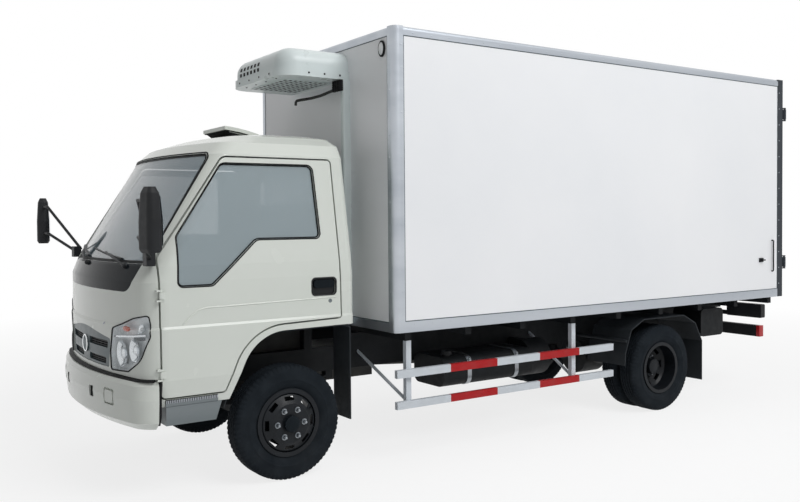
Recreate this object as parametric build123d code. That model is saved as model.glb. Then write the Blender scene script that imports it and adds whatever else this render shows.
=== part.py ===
from build123d import *
import math
import os

os.makedirs("parts", exist_ok=True)

# Refrigerated light truck in millimetres: X to the truck's left, Y to its rear, Z up from the ground.
# Stations along Y are measured from the front axle; write() moves the truck's middle to Y 0.
FRONT_AXLE_Y = -1938.5
WHEELBASE = 3360
AXLE_Z = 353

# Running gear
TYRE_R = 353
BEAD_R = 191
RIM_R = 190
FRONT_TRACK_HALF = 716
REAR_OUTER_X = 796
DISC_OFFSET = 94
TWIN_SPACING = 2 * DISC_OFFSET
KINGPIN_X = 600
KINGPIN_R = 16
SPINDLE_R = 25
REAR_SPINDLE_R = 40
RUNNING_GAP = 0.05

# Frame
RAIL_INNER = 300
RAIL_OUTER = 360
RAIL_Z = (560, 720)
RAIL_Y = (-914, 4780)
RAIL_WEB = 7
BEARER_Z = (800, 865)

# Insulated box
BOX_HALF = 980
BOX_Y = (660, 4894)
BOX_Z = (865, 2820)
WALL = 75
TOP_RAIL = 58
LOW_RAIL = 70
POST = 75
PANEL_SINK = 3
HINGE_OUT = 30

# Cab shell: one row per level, from the sill to the crown of the roof
CAB_WALL = 45
CAB_REAR_CORNER = 60
DRIP_Z = 1972
#   level  half   front  bow   corner  rear
CAB_LEVELS = [
    (555, 822, -975, 2900, 150, 440),
    (702, 846, -1000, 2900, 150, 450),
    (990, 848, -1006, 2900, 150, 450),
    (1004, 841, -997, 2900, 150, 450),
    (1250, 841, -993, 2900, 150, 450),
    (1340, 836, -964, 2700, 150, 448),
    (1985, 748, -590, 1900, 120, 430),
    (2060, 705, -500, 1900, 120, 425),
    (2110, 615, -340, 1900, 120, 400),
    (2138, 455, -120, 1900, 120, 330),
]

# Cab doors, side windows and wheel arch: corners as Y, Z and the radius of the corner
DOOR_GAP = 10
SEAT_GAP = 0.3
DOOR_AXIS = (847, -808)
DOOR_OUTLINE = [
    (-800, 606, 20), (-805, 1383, 60), (-396, 1964, 50), (318, 1964, 20), (340, 985, 20), (-280, 968, 345),
    (-432, 606, 20),
]
WINDOW_OUTLINE = [
    (-705, 1222, 30), (-698, 1505, 50), (-408, 1928, 45), (190, 1930, 40), (212, 1480, 30), (-215, 1480, 60),
    (-500, 1222, 35),
]
HANDLE_OUTLINE = [(140, 1130, 22), (140, 1232, 22), (306, 1232, 22), (306, 1130, 22)]
ARCH_OUTLINE = [(-426, 500), (-235, 928, 290), (300, 936), (700, 936), (700, 500)]


def block(x_range, y_range, z_range):
    """A box between two values on each axis."""
    ranges = (x_range, y_range, z_range)
    middle = [(low + high) / 2 for low, high in ranges]
    size = [high - low for low, high in ranges]
    return Pos(*middle) * Box(*size)


def outline_face(corners):
    """A face from corners (a, b) or (a, b, radius), with an arc at each corner that has a radius."""
    points = [corner[:2] for corner in corners]
    edges = []
    tangents = []
    for before, corner, after in zip(points[-1:] + points[:-1], corners, points[1:] + points[:1]):
        here = corner[:2]
        radius = corner[2] if len(corner) > 2 else 0
        back = math.atan2(before[1] - here[1], before[0] - here[0])
        turn = math.remainder(math.atan2(after[1] - here[1], after[0] - here[0]) - back, 2 * math.pi)
        reach = radius / math.tan(abs(turn) / 2)
        depth = radius / math.sin(abs(turn) / 2) - radius
        start, middle, end = [
            (here[0] + length * math.cos(angle), here[1] + length * math.sin(angle))
            for length, angle in ((reach, back), (depth, back + turn / 2), (reach, back + turn))
        ]
        tangents.append((start, end))
        if radius:
            edges.append(ThreePointArc(start, middle, end))
    for (_, end), (start, _) in zip(tangents, tangents[1:] + tangents[:1]):
        edges.append(Line(end, start))
    return make_face(edges)


def side_prism(corners, x_range):
    """An outline in Y and Z, drawn out along X."""
    plane = Plane(origin=(x_range[0], 0, 0), x_dir=(0, 1, 0), z_dir=(1, 0, 0))
    return extrude(plane * outline_face(corners), x_range[1] - x_range[0])


def front_prism(corners, y_range):
    """An outline in X and Z, drawn out along Y."""
    plane = Plane(origin=(0, y_range[1], 0), x_dir=(1, 0, 0), z_dir=(0, -1, 0))
    return extrude(plane * outline_face(corners), y_range[1] - y_range[0])


def grown(corners, amount):
    """An outline moved outward by an amount, or inward if it is negative, with its corner radii."""
    points = [corner[:2] for corner in corners]
    area = sum(a[0] * b[1] - b[0] * a[1] for a, b in zip(points, points[1:] + points[:1]))
    sign = 1 if area > 0 else -1
    moved = []
    for before, corner, after in zip(points[-1:] + points[:-1], corners, points[1:] + points[:1]):
        here = corner[:2]
        first = math.atan2(here[1] - before[1], here[0] - before[0])
        second = math.atan2(after[1] - here[1], after[0] - here[0])
        turn = math.remainder(second - first, 2 * math.pi)
        reach = sign * amount / math.cos(turn / 2)
        normal = first + turn / 2 - math.pi / 2
        place = (here[0] + reach * math.cos(normal), here[1] + reach * math.sin(normal))
        if len(corner) > 2:
            convex = turn * sign > 0
            place += (max(corner[2] + (amount if convex else -amount), 1),)
        moved.append(place)
    return moved


def strip(path, thickness):
    """A closed outline of even thickness to the right of an open path."""
    other = []
    for index, here in enumerate(path):
        before = path[index - 1] if index else None
        after = path[index + 1] if index + 1 < len(path) else None
        first = math.atan2(here[1] - before[1], here[0] - before[0]) if before else None
        second = math.atan2(after[1] - here[1], after[0] - here[0]) if after else None
        first = second if first is None else first
        second = first if second is None else second
        turn = math.remainder(second - first, 2 * math.pi)
        reach = thickness / math.cos(turn / 2)
        normal = first + turn / 2 - math.pi / 2
        other.append((here[0] + reach * math.cos(normal), here[1] + reach * math.sin(normal)))
    return list(path) + other[::-1]


def rod(start, end, radius):
    """A round bar between two points."""
    along = Vector(*end) - Vector(*start)
    return Solid.make_cylinder(radius, along.length, Plane(origin=start, z_dir=along))


def both(part):
    """A part of the left side with its mirror image."""
    return [part, mirror(part, about=Plane.YZ)]


def write(node, *pieces):
    """Writes the solids of one node, moved from front-axle stations to the truck's middle."""
    solids = [solid for piece in pieces for solid in piece.solids()]
    shape = solids[0] if len(solids) == 1 else Compound(solids)
    export_step(shape.moved(Location((0, FRONT_AXLE_Y, 0))), f"parts/{node}.step")


# Frame rails with the sills of the box on them
rail = block((RAIL_INNER, RAIL_OUTER), RAIL_Y, RAIL_Z)
rail -= block((RAIL_INNER, RAIL_OUTER - RAIL_WEB), RAIL_Y, (RAIL_Z[0] + RAIL_WEB, RAIL_Z[1] - RAIL_WEB))
sill = block((RAIL_INNER, RAIL_OUTER), (690, 4860), (RAIL_Z[1], BEARER_Z[0]))
write("frame_rails", *both(rail), *both(sill))

# Crossmembers between the rails, cab mounts, bearers under the box, underrun bar and lamp arms
CROSSMEMBER_STATIONS = [-880, 1120, 1900, 2700, 4000, 4740]
BEARER_STATIONS = [810 + 501 * step for step in range(9)]
#              Y range       top
CAB_MOUNTS = [((-880, -800), 775), ((330, 390), 950)]
TOW_HOLES = (83, 56)
TOW_HOLE_R = 5.5
RAIL_INSIDE = RAIL_OUTER - RAIL_WEB
cross_pieces = []
for station in CROSSMEMBER_STATIONS:
    cross_pieces.append(block((-RAIL_INSIDE, RAIL_INSIDE), (station - 30, station + 30), (585, 695)))
for x in (-TOW_HOLES[0] / 2, TOW_HOLES[0] / 2):
    for z in (640 - TOW_HOLES[1] / 2, 640 + TOW_HOLES[1] / 2):
        cross_pieces[-1] -= rod((x, 4700, z), (x, 4780, z), TOW_HOLE_R)
for y_range, top in CAB_MOUNTS:
    cross_pieces += both(block((RAIL_INNER, RAIL_OUTER), y_range, (RAIL_Z[1], top)))
for station in BEARER_STATIONS:
    cross_pieces.append(block((-900, 900), (station - 25, station + 25), BEARER_Z))
underrun = block((-820, 820), (4790, 4850), (484, 584))
for part in both(block((RAIL_INNER, RAIL_OUTER), (RAIL_Y[1], 4820), (484, 710))):
    underrun += part
for part in both(block((RAIL_OUTER - 5, 470), (4802, 4820), (660, 700))):
    underrun += part
cross_pieces.append(underrun)
write("frame_cross_pieces", *cross_pieces)

# Axles with their leaf springs
FRONT_SPRING_LOW = 395
REAR_SPRING_LOW = 410
BEAM_HALF_PROFILE = [(430, 268), (520, 330), (580, 330), (580, 376), (505, 376), (415, 330)]
beam_profile = BEAM_HALF_PROFILE + [(-x, z) for x, z in BEAM_HALF_PROFILE[::-1]]
front_axle = front_prism(beam_profile, (-28, 28))
for part in both(rod((KINGPIN_X, 0, 318), (KINGPIN_X, 0, 388), 34)):
    front_axle += part
for part in both(block((RAIL_INNER, RAIL_OUTER), (-60, 60), (320, FRONT_SPRING_LOW))):
    front_axle += part
for part in both(rod((KINGPIN_X, 0, 300), (KINGPIN_X, 0, 400), KINGPIN_R + RUNNING_GAP)):
    front_axle -= part

rear_axle = rod((-500, WHEELBASE, AXLE_Z), (500, WHEELBASE, AXLE_Z), 52)
rear_axle += rod((-780, WHEELBASE, AXLE_Z), (780, WHEELBASE, AXLE_Z), REAR_SPINDLE_R)
rear_axle += rod((0, WHEELBASE - 130, AXLE_Z), (0, WHEELBASE + 120, AXLE_Z), 150)
for part in both(block((RAIL_INNER, RAIL_OUTER), (WHEELBASE - 60, WHEELBASE + 60), (360, REAR_SPRING_LOW))):
    rear_axle += part


def leaf_spring(station, reach, low):
    """A bowed leaf pack below one rail, with a hanger at each end."""
    ends_z = 528
    lower = ThreePointArc((-reach, ends_z), (0, low), (reach, ends_z))
    upper = ThreePointArc((-reach, ends_z + 14), (0, low + 36), (reach, ends_z + 14))
    left_end = Line((-reach, ends_z), (-reach, ends_z + 14))
    right_end = Line((reach, ends_z), (reach, ends_z + 14))
    plane = Plane(origin=(RAIL_INNER, station, 0), x_dir=(0, 1, 0), z_dir=(1, 0, 0))
    spring = extrude(plane * make_face([lower, right_end, upper, left_end]), RAIL_OUTER - RAIL_INNER)
    for end in (-reach, reach):
        spring += block((RAIL_INNER, RAIL_OUTER), (station + end - 25, station + end + 25), (505, RAIL_Z[0]))
    return spring


springs = both(leaf_spring(0, 520, FRONT_SPRING_LOW)) + both(leaf_spring(WHEELBASE, 600, REAR_SPRING_LOW))
write("axles_and_springs", front_axle, rear_axle, *springs)

# Engine with gearbox on its mounts, and the propeller shaft to the rear axle
engine = block((-240, 240), (-280, 420), (470, 925))
engine += block((-240, 240), (-620, -280), (470, 745))
engine += block((-150, 150), (420, 1000), (450, 700))
for part in both(block((240, RAIL_INSIDE), (-100, -40), (600, 660))):
    engine += part
propshaft = rod((0, 990, 535), (0, WHEELBASE - 120, AXLE_Z + 25), 38) - rear_axle
write("drive_train", engine + propshaft)

# Units hung on the frame: tanks and a tool box on the left, battery box and silencer on the right
#           Y range       Z range
TANK_ARMS = [((1400, 1450), (560, 610)), ((1830, 1880), (560, 610))]
fuel_tank = fillet(block((385, 745), (1216, 2040), (415, 622)).edges().filter_by(Axis.Y), 60)
round_tank = rod((560, 2070, 525), (560, 2280, 525), 140)
round_tank += block((RAIL_OUTER, 480), (2150, 2200), (600, 650))
battery_box = fillet(block((-745, -385), (1300, 1900), (430, 700)).edges().filter_by(Axis.Z), 25)
for y_range, z_range in TANK_ARMS:
    fuel_tank += block((RAIL_OUTER, 400), y_range, z_range)
    battery_box += block((-400, -RAIL_OUTER), y_range, z_range)
silencer = rod((-500, 2050, 480), (-500, 2650, 480), 90)
silencer += rod((-500, 2640, 480), (-500, 2860, 480), 25)
for station in (2140, 2560):
    silencer += block((-515, -RAIL_OUTER), (station - 20, station + 20), (562, 600))
tool_box = fillet(block((560, 850), (3900, 4205), (560, 795)).edges().filter_by(Axis.X), 40)
tool_box += block((RAIL_OUTER, 580), (4020, 4080), (620, 680))
write("underframe_units", fuel_tank, round_tank, tool_box, battery_box, silencer)

# Side guards: two bars on two posts below the bearers, each post braced to the rail
GUARD_BARS_Z = [(363, 412), (565, 617)]
#               station  brace shift
GUARD_POSTS = [(810, -60), (2313, 60)]
guard = None
for z_range in GUARD_BARS_Z:
    bar = block((905, 935), (700, 2715), z_range)
    guard = bar if guard is None else guard + bar
for station, shift in GUARD_POSTS:
    guard += block((870, 905), (station - 20, station + 20), (363, BEARER_Z[0]))
    brace = rod((888, station, 400), (320, station + shift, 690), 11)
    guard += brace - block((200, RAIL_OUTER), (0, 4000), (400, 900))
write("side_guards", *both(guard))

# Tail lamps
write("tail_lamps", *both(fillet(block((470, 830), (4800, 4862), (655, 780)).edges().filter_by(Axis.Y), 12)))

# Mudguards: arch liners with a flap over each front wheel, arched guards on stays over the rear twins
FRONT_LINER = [
    (-418, 500), (-356, 690), (-318, 790), (-190, 886), (-60, 918), (430, 925), (452, 905), (452, 310),
]
REAR_GUARD = [
    (-478, 420), (-470, 520), (-400, 700), (-250, 775), (250, 775), (400, 700), (490, 540), (490, 205),
]
LINER_STAYS = [(0, 60), (300, 360)]
GUARD_STAYS = [(-440, 610), (468, 590)]
front_liner = side_prism(strip(FRONT_LINER, 8), (560, 770))
for y_range in LINER_STAYS:
    front_liner += block((600, 700), y_range, (915, 950))
rear_guard = side_prism(strip(REAR_GUARD, 8), (505, 900))
for y, z in GUARD_STAYS:
    rear_guard += rod((RAIL_OUTER, y, z), (890, y, z), 14)
write("mudguards", *both(front_liner), *both(Pos(0, WHEELBASE, 0) * rear_guard))


# Cab volume and the panels cut from it
def cab_level(z, half, front, bow, corner, rear):
    """One level of the cab: bowed front, straight sides and rounded corners."""
    sag = bow - math.sqrt(bow ** 2 - half ** 2)
    front_arc = ThreePointArc((-half, front + sag), (0, front), (half, front + sag))
    back = Polyline((half, front + sag), (half, rear), (-half, rear), (-half, front + sag))
    face = make_face([front_arc, back])
    face = fillet(face.vertices().sort_by(Axis.Y)[:2], corner)
    face = fillet(face.vertices().sort_by(Axis.Y)[-2:], CAB_REAR_CORNER)
    return Pos(0, 0, z) * face


def cab_volume(inset):
    """The cab's outer form, drawn in on every side but the bottom."""
    levels = []
    for z, half, front, bow, corner, rear in CAB_LEVELS:
        lowered = z - inset if z > DRIP_Z + 20 else z
        bottom = lowered - 30 if inset and z == CAB_LEVELS[0][0] else lowered
        levels.append(cab_level(bottom, half - inset, front + inset, bow, corner, rear - inset))
    return loft(levels, ruled=True)


cab_outer = cab_volume(0)
cab_inner = cab_volume(CAB_WALL)
cab_shell = cab_outer - cab_inner

# Openings in the front and back of the cab: corners as X, Z and the radius of the corner
WINDSCREEN_OUTLINE = [(-735, 1352, 40), (735, 1352, 40), (695, 1990, 45), (-695, 1990, 45)]
REAR_WINDOW_OUTLINE = [(-540, 1500, 40), (540, 1500, 40), (520, 1880, 40), (-520, 1880, 40)]
COWL_OUTLINE = [(-710, 1352), (-650, 1193, 105), (650, 1193, 105), (710, 1352)]
GRILLE_OUTLINE = [(-408, 742, 20), (408, 742, 20), (440, 912, 20), (0, 968, 1200), (-440, 912, 20)]
LAMP_OUTLINE = [
    (440, 735, 18), (640, 745, 40), (765, 815, 110), (817, 955, 60), (799, 1068, 12), (690, 1047, 60),
    (472, 978, 25), (438, 840, 40),
]
LAMP_Y = (-1100, -838)

windscreen_hole = front_prism(WINDSCREEN_OUTLINE, (-1100, -300))
rear_window_hole = front_prism(REAR_WINDOW_OUTLINE, (300, 600))
door_hole = side_prism(grown(DOOR_OUTLINE, DOOR_GAP), (500, 1000))
arch_hole = side_prism(ARCH_OUTLINE, (-1000, 1000))

shell_rest = cab_shell - windscreen_hole - rear_window_hole - arch_hole
for part in both(door_hole):
    shell_rest -= part

# Roof with a ventilator: a bowed lid that stands open to the front on a wedge-shaped neck
VENT_HALF = 190
LID = 24
LID_FRONT = (-145, 2213)
LID_MIDDLE = (-30, 2198)
LID_REAR = (100, 2166)
NECK_OUTLINE = [(-128, 2195), (0, 2105), (80, 2105), (90, 2158)]
roof = (cab_shell & block((-1000, 1000), (-1100, 600), (DRIP_Z, 2200))) - windscreen_hole
for part in both(door_hole):
    roof -= part
lid_top = ThreePointArc(LID_FRONT, LID_MIDDLE, LID_REAR)
lid_low = ThreePointArc(*[(y, z - LID) for y, z in (LID_FRONT, LID_MIDDLE, LID_REAR)])
lid_ends = [Line((y, z), (y, z - LID)) for y, z in (LID_FRONT, LID_REAR)]
lid_plane = Plane(origin=(-VENT_HALF, 0, 0), x_dir=(0, 1, 0), z_dir=(1, 0, 0))
vent = extrude(lid_plane * make_face([lid_top, lid_ends[1], lid_low, lid_ends[0]]), 2 * VENT_HALF)
vent += side_prism(NECK_OUTLINE, (-165, 165))
roof += vent - cab_inner
write("cab_roof", roof)

# Front panel and rear shell, with the fixed halves of the door hinges on the front panel
HINGE_LEVELS = [740, 1180]
DOOR_PIN_R = 5
KNUCKLE_R = 9
KNUCKLE_HALF = 18
KNUCKLE_CLEAR = 5
KNUCKLE_END = 33
front_region = block((-1000, 1000), (-1100, -809), (716, 1335))
front_region += block((-1000, 1000), (-1100, -200), (1335, DRIP_Z))
cab_front = shell_rest & front_region
cab_front -= front_prism(GRILLE_OUTLINE, (-1100, -850))
for part in both(front_prism(LAMP_OUTLINE, LAMP_Y)):
    cab_front -= part
cab_front -= front_prism(COWL_OUTLINE, (-1100, -780)) & (cab_outer - cab_volume(6))
fixed_hinge = None
for level in HINGE_LEVELS:
    pin = rod((*DOOR_AXIS, level - KNUCKLE_END), (*DOOR_AXIS, level + KNUCKLE_END), DOOR_PIN_R)
    fixed_hinge = pin if fixed_hinge is None else fixed_hinge + pin
    for z_range in (
        (level - KNUCKLE_END, level - KNUCKLE_HALF - KNUCKLE_CLEAR),
        (level + KNUCKLE_HALF + KNUCKLE_CLEAR, level + KNUCKLE_END),
    ):
        fixed_hinge += rod((*DOOR_AXIS, z_range[0]), (*DOOR_AXIS, z_range[1]), KNUCKLE_R)
        fixed_hinge += block((805, DOOR_AXIS[0] + KNUCKLE_R), (DOOR_AXIS[1] - 24, DOOR_AXIS[1] - 3), z_range)
for part in both(fixed_hinge):
    cab_front += part
write("cab_front", cab_front)

rear_region = block((-1000, 1000), (-809, 600), (500, 1335))
rear_region += block((-1000, 1000), (-200, 600), (1335, DRIP_Z))
write("cab_rear_shell", shell_rest & rear_region)

# Black panel below the windscreen, grille with its slots and round boss, headlamps and glass
cowl = front_prism(grown(COWL_OUTLINE, -SEAT_GAP), (-1100, -780))
cowl &= cab_volume(0.5) - cab_volume(6 - SEAT_GAP)
write("cowl_panel", cowl)

GRILLE_INSET = 6
#                x range     z range
GRILLE_SLOTS = [((70, 388), (852, 894)), ((70, 356), (756, 794))]
BOSS_Z = 842
grille = front_prism(grown(GRILLE_OUTLINE, -SEAT_GAP), (-1100, -850))
grille &= cab_volume(GRILLE_INSET) - cab_volume(42)
for x_range, z_range in GRILLE_SLOTS:
    slot = [(x, z, 10) for x, z in zip((x_range[0], x_range[1] - 6, x_range[1], x_range[0]),
                                       (z_range[0], z_range[0], z_range[1], z_range[1]))]
    for part in both(front_prism(slot, (-1100, -850)) - cab_volume(32)):
        grille -= part
grille += rod((0, -1001, BOSS_Z), (0, -985, BOSS_Z), 52)
write("grille", grille)

lamp = front_prism(grown(LAMP_OUTLINE, -SEAT_GAP), (LAMP_Y[0], LAMP_Y[1] - 3))
lamp &= cab_volume(2) - cab_inner
write("headlamps", *both(lamp))

windscreen = front_prism(grown(WINDSCREEN_OUTLINE, -SEAT_GAP), (-1100, -300))
windscreen &= cab_volume(8) - cab_volume(14)
rear_window = front_prism(grown(REAR_WINDOW_OUTLINE, -SEAT_GAP), (300, 600))
rear_window &= cab_volume(15) - cab_volume(20)
write("cab_glass", windscreen, rear_window)

# Cab doors with their handle pockets, hinge leaves and glass
door = cab_shell & side_prism(DOOR_OUTLINE, (500, 1000))
door -= side_prism(WINDOW_OUTLINE, (500, 1000))
door -= side_prism(HANDLE_OUTLINE, (500, 1000)) - cab_volume(18)
for level in HINGE_LEVELS:
    z_range = (level - KNUCKLE_HALF, level + KNUCKLE_HALF)
    leaf = block((805, DOOR_AXIS[0] + KNUCKLE_R), (DOOR_AXIS[1] + 3, DOOR_AXIS[1] + 24), z_range)
    leaf -= block((500, 850), (DOOR_AXIS[1], DOOR_AXIS[1] + 8), z_range) & cab_outer
    leaf += rod((*DOOR_AXIS, z_range[0]), (*DOOR_AXIS, z_range[1]), KNUCKLE_R)
    leaf -= rod((*DOOR_AXIS, z_range[0] - 1), (*DOOR_AXIS, z_range[1] + 1), DOOR_PIN_R + RUNNING_GAP)
    door += leaf
door_glass = side_prism(grown(WINDOW_OUTLINE, -SEAT_GAP), (500, 1000)) & (cab_volume(14) - cab_volume(19))
for side, panel, glass in zip(("left", "right"), both(door), both(door_glass)):
    write(f"cab_door_{side}", panel)
    write(f"door_glass_{side}", glass)

# Cab floor, held clear of the doors and seated on the front and back panels
FLOOR_PATH = [(-950, 815), (-450, 815), (-330, 990), (430, 990)]
cab_room = cab_volume(CAB_WALL + 6) + (cab_inner & block((-600, 600), (-1100, 600), (500, 2200)))
floor = side_prism(strip(FLOOR_PATH, 40), (-800, 800)) & cab_room
write("cab_floor", floor)

# Steps below the doors, with a slanted rear end and four ribs along the tread
STEP_OUTLINE = [(-780, 450), (-780, 555), (-452, 555), (-488, 450)]
step = side_prism(STEP_OUTLINE, (650, 832))
step -= side_prism(grown(STEP_OUTLINE, -12), (600, 795))
for x in (740, 762, 784, 806):
    step -= block((x, x + 8), (-770, -470), (549, 560))
write("cab_steps", *both(step))

# Front bumper: bowed shell with a tucked-in lower edge, tow eyes, lamp recesses and brackets to the rails
#   level  half  front
BUMPER_LEVELS = [
    (428, 800, -1000), (470, 836, -1046), (600, 846, -1060), (680, 846, -1052), (702, 836, -1036),
]
TOW_EYE = [(245, 560, 8), (305, 560, 8), (305, 625, 8), (245, 625, 8)]
LAMP_RECESS = [(450, 545, 14), (565, 545, 14), (565, 640, 14), (450, 640, 14)]


def bumper_volume(inset):
    """The bumper's form, drawn in from the front and sides."""
    levels = []
    for z, half, front in BUMPER_LEVELS:
        levels.append(cab_level(z, half - inset, front + inset, 2600, 160, 400))
    return loft(levels, ruled=True)


bumper_outer = bumper_volume(0)
bumper = bumper_outer - bumper_volume(30)
bumper &= block((-1000, 1000), (-1100, -822), (400, 730))
for part in both(front_prism(TOW_EYE, (-1100, -900))):
    bumper -= part
for part in both(front_prism(LAMP_RECESS, (-1100, -900)) & (bumper_outer - bumper_volume(14))):
    bumper -= part
for part in both(block((RAIL_INNER, RAIL_OUTER), (-1020, RAIL_Y[0]), (600, 680))):
    bumper += part
write("front_bumper", bumper)

# Mirrors: a tapered pod, turned toward the driver, on two bent arms at each front corner
HEAD_PLACE = Pos(1235, -985, 0) * Rot(0, 0, 15)
#   level  width  depth  corner
HEAD_LEVELS = [
    (1434, 100, 62, 24), (1452, 126, 84, 34), (1600, 126, 84, 34), (1735, 102, 68, 28), (1766, 66, 42, 18),
]
head_levels = []
for level, width, depth, corner in HEAD_LEVELS:
    head_levels.append(Pos(0, 0, level) * RectangleRounded(width, depth, corner))
mirror_left = HEAD_PLACE * loft(head_levels, ruled=True)
for low, high in ((1360, 1510), (1400, 1700)):
    elbow = (1060, -990, high)
    mirror_left += rod((780, -830, low), elbow, 10)
    mirror_left += Pos(*elbow) * Sphere(10)
    mirror_left += rod(elbow, (1215, -990, high), 10)
mirror_left += block((770, 838), (-880, -830), (1345, 1418))
mirror_left -= cab_outer
mirror_left = mirror_left.solids().sort_by(SortBy.VOLUME)[-1]
write("mirrors", *both(mirror_left))

# Dashboard, and the steering wheel on its column from the floor
DASH_OUTLINE = [
    (-950, 1060), (-640, 1040, 20), (-600, 1120, 30), (-640, 1290, 40), (-705, 1335, 30), (-950, 1300),
]
WHEEL_AT = (400, -430, 1330)
COLUMN_TILT = 28
dash = side_prism(DASH_OUTLINE, (-735, 735)) & cab_room
wheel_place = Pos(*WHEEL_AT) * Rot(-COLUMN_TILT, 0, 0)
ring = chamfer((Cylinder(219, 26) - Cylinder(193, 26)).edges(), 7)
steering_wheel = wheel_place * (ring + Cylinder(48, 40))
for angle in (90, 210, 330):
    steering_wheel += wheel_place * Rot(0, 0, angle) * Pos(105, 0, 0) * Box(190, 26, 14)
column_dir = Vector(0, -math.sin(math.radians(COLUMN_TILT)), -math.cos(math.radians(COLUMN_TILT)))
column_end = Vector(*WHEEL_AT) + column_dir * 640
column = rod(WHEEL_AT, tuple(column_end), 26) - block((0, 800), (-1000, 0), (500, 815))
column += block((375, 425), (-625, -505), (1120, 1170))
write("dash_and_wheel", dash + column + steering_wheel)

# Seats: driver's seat and a double seat beside it
#             x range
SEAT_SPANS = [(150, 680), (-680, 120)]
SEAT_OUTLINE = [
    (-230, 990), (-238, 1140, 45), (192, 1112, 20), (285, 1745, 40), (372, 1745, 30), (330, 1120, 30),
    (300, 990),
]
write("seats", *[side_prism(SEAT_OUTLINE, x_range) for x_range in SEAT_SPANS])

# Insulated box
inner_half = BOX_HALF - WALL
front_y = BOX_Y[0]
rear_y = BOX_Y[1]
low_z = BOX_Z[0]
high_z = BOX_Z[1]
side_y = (front_y + POST, rear_y - POST)
wall_face = front_y + PANEL_SINK

write("box_floor", block((-inner_half, inner_half), side_y, (low_z, low_z + 100)))
write("box_roof", block((-inner_half, inner_half), side_y, (high_z - WALL, high_z - 2)))
side_wall = block((inner_half, BOX_HALF - PANEL_SINK), side_y, (low_z + LOW_RAIL, high_z - TOP_RAIL))
front_x = (POST - BOX_HALF, BOX_HALF - POST)
front_wall = block(front_x, (wall_face, front_y + WALL), (low_z + 60, high_z - TOP_RAIL))
write("box_walls", *both(side_wall), front_wall)

top_rail = block((inner_half, BOX_HALF), side_y, (high_z - TOP_RAIL, high_z))
top_rail = fillet(top_rail.edges().filter_by(Axis.Y).group_by(Axis.Z)[-1].sort_by(Axis.X)[-1], 25)
low_rail = block((inner_half, BOX_HALF), side_y, (low_z, low_z + LOW_RAIL))
low_front = block(front_x, (wall_face, front_y + WALL), (low_z, low_z + 60))
corner_post = block((BOX_HALF - POST, BOX_HALF), (front_y, front_y + POST), (low_z, high_z))
corner_post = fillet(corner_post.edges().filter_by(Axis.Z).sort_by(Axis.Y)[:2].sort_by(Axis.X)[-1], 45)
front_rail = block(front_x, (front_y, front_y + WALL), (high_z - TOP_RAIL, high_z))
front_rail = fillet(front_rail.edges().filter_by(Axis.X).group_by(Axis.Z)[-1].sort_by(Axis.Y)[0], 25)
write("box_edge_rails", *both(top_rail), *both(low_rail), *both(corner_post), front_rail, low_front)

# Rear frame with the hinge lugs and pins, and the doors
HINGE_STATIONS = [1175, 2513]
BARREL_HALF = 45
LUG = 10
PIN_R = 8
hinge_at = (BOX_HALF, rear_y + HINGE_OUT)
rear_post = block((BOX_HALF - POST, BOX_HALF), (rear_y - POST, rear_y), (low_z, high_z))
for station in HINGE_STATIONS:
    for low in (station - BARREL_HALF - 5 - LUG, station + BARREL_HALF + 5):
        rear_post += block((BOX_HALF - 50, BOX_HALF), (rear_y, rear_y + HINGE_OUT), (low, low + LUG))
        rear_post += rod((*hinge_at, low), (*hinge_at, low + LUG), 11)
    pin_reach = BARREL_HALF + 10
    rear_post += rod((*hinge_at, station - pin_reach), (*hinge_at, station + pin_reach), PIN_R)
header = block(front_x, (rear_y - POST, rear_y), (high_z - 80, high_z))
threshold = block(front_x, (rear_y - POST, rear_y), (low_z, low_z + 100))
write("rear_frame", *both(rear_post), header, threshold)

DOOR_X = (10, BOX_HALF - POST - 6)
DOOR_Z = (low_z + 106, high_z - 86)
DOOR_FACE = rear_y + 6
box_door = block(DOOR_X, (rear_y - POST + 8, DOOR_FACE), DOOR_Z)

# Door fittings: hinge straps, and a lock rod with its brackets and handle
ROD_X = 110
ROD_Y = DOOR_FACE + 22
fittings = []
for station in HINGE_STATIONS:
    z_range = (station - BARREL_HALF, station + BARREL_HALF)
    strap = block((640, BOX_HALF), (DOOR_FACE, DOOR_FACE + 8), z_range)
    strap = chamfer(strap.edges().filter_by(Axis.Y).group_by(Axis.X)[0], 25)
    strap += block((BOX_HALF - 11, BOX_HALF), (DOOR_FACE, hinge_at[1]), z_range)
    strap += rod((*hinge_at, z_range[0]), (*hinge_at, z_range[1]), 13)
    strap -= rod((*hinge_at, z_range[0] - 1), (*hinge_at, z_range[1] + 1), PIN_R + RUNNING_GAP)
    fittings.append(strap)
lock = rod((ROD_X, ROD_Y, DOOR_Z[0] + 6), (ROD_X, ROD_Y, DOOR_Z[1] - 6), 13)
for station in (1060, 1400, 2000, 2600):
    lock += block((ROD_X - 45, ROD_X + 45), (DOOR_FACE, ROD_Y + 10), (station - 25, station + 25))
lock += block((ROD_X, ROD_X + 330), (ROD_Y - 4, ROD_Y + 8), (1500, 1530))
fittings.append(lock)
for side, panel in zip(("left", "right"), both(box_door)):
    write(f"box_door_{side}", panel)
for side, index in (("left", 0), ("right", 1)):
    write(f"box_door_fittings_{side}", *[both(part)[index] for part in fittings])

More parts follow.
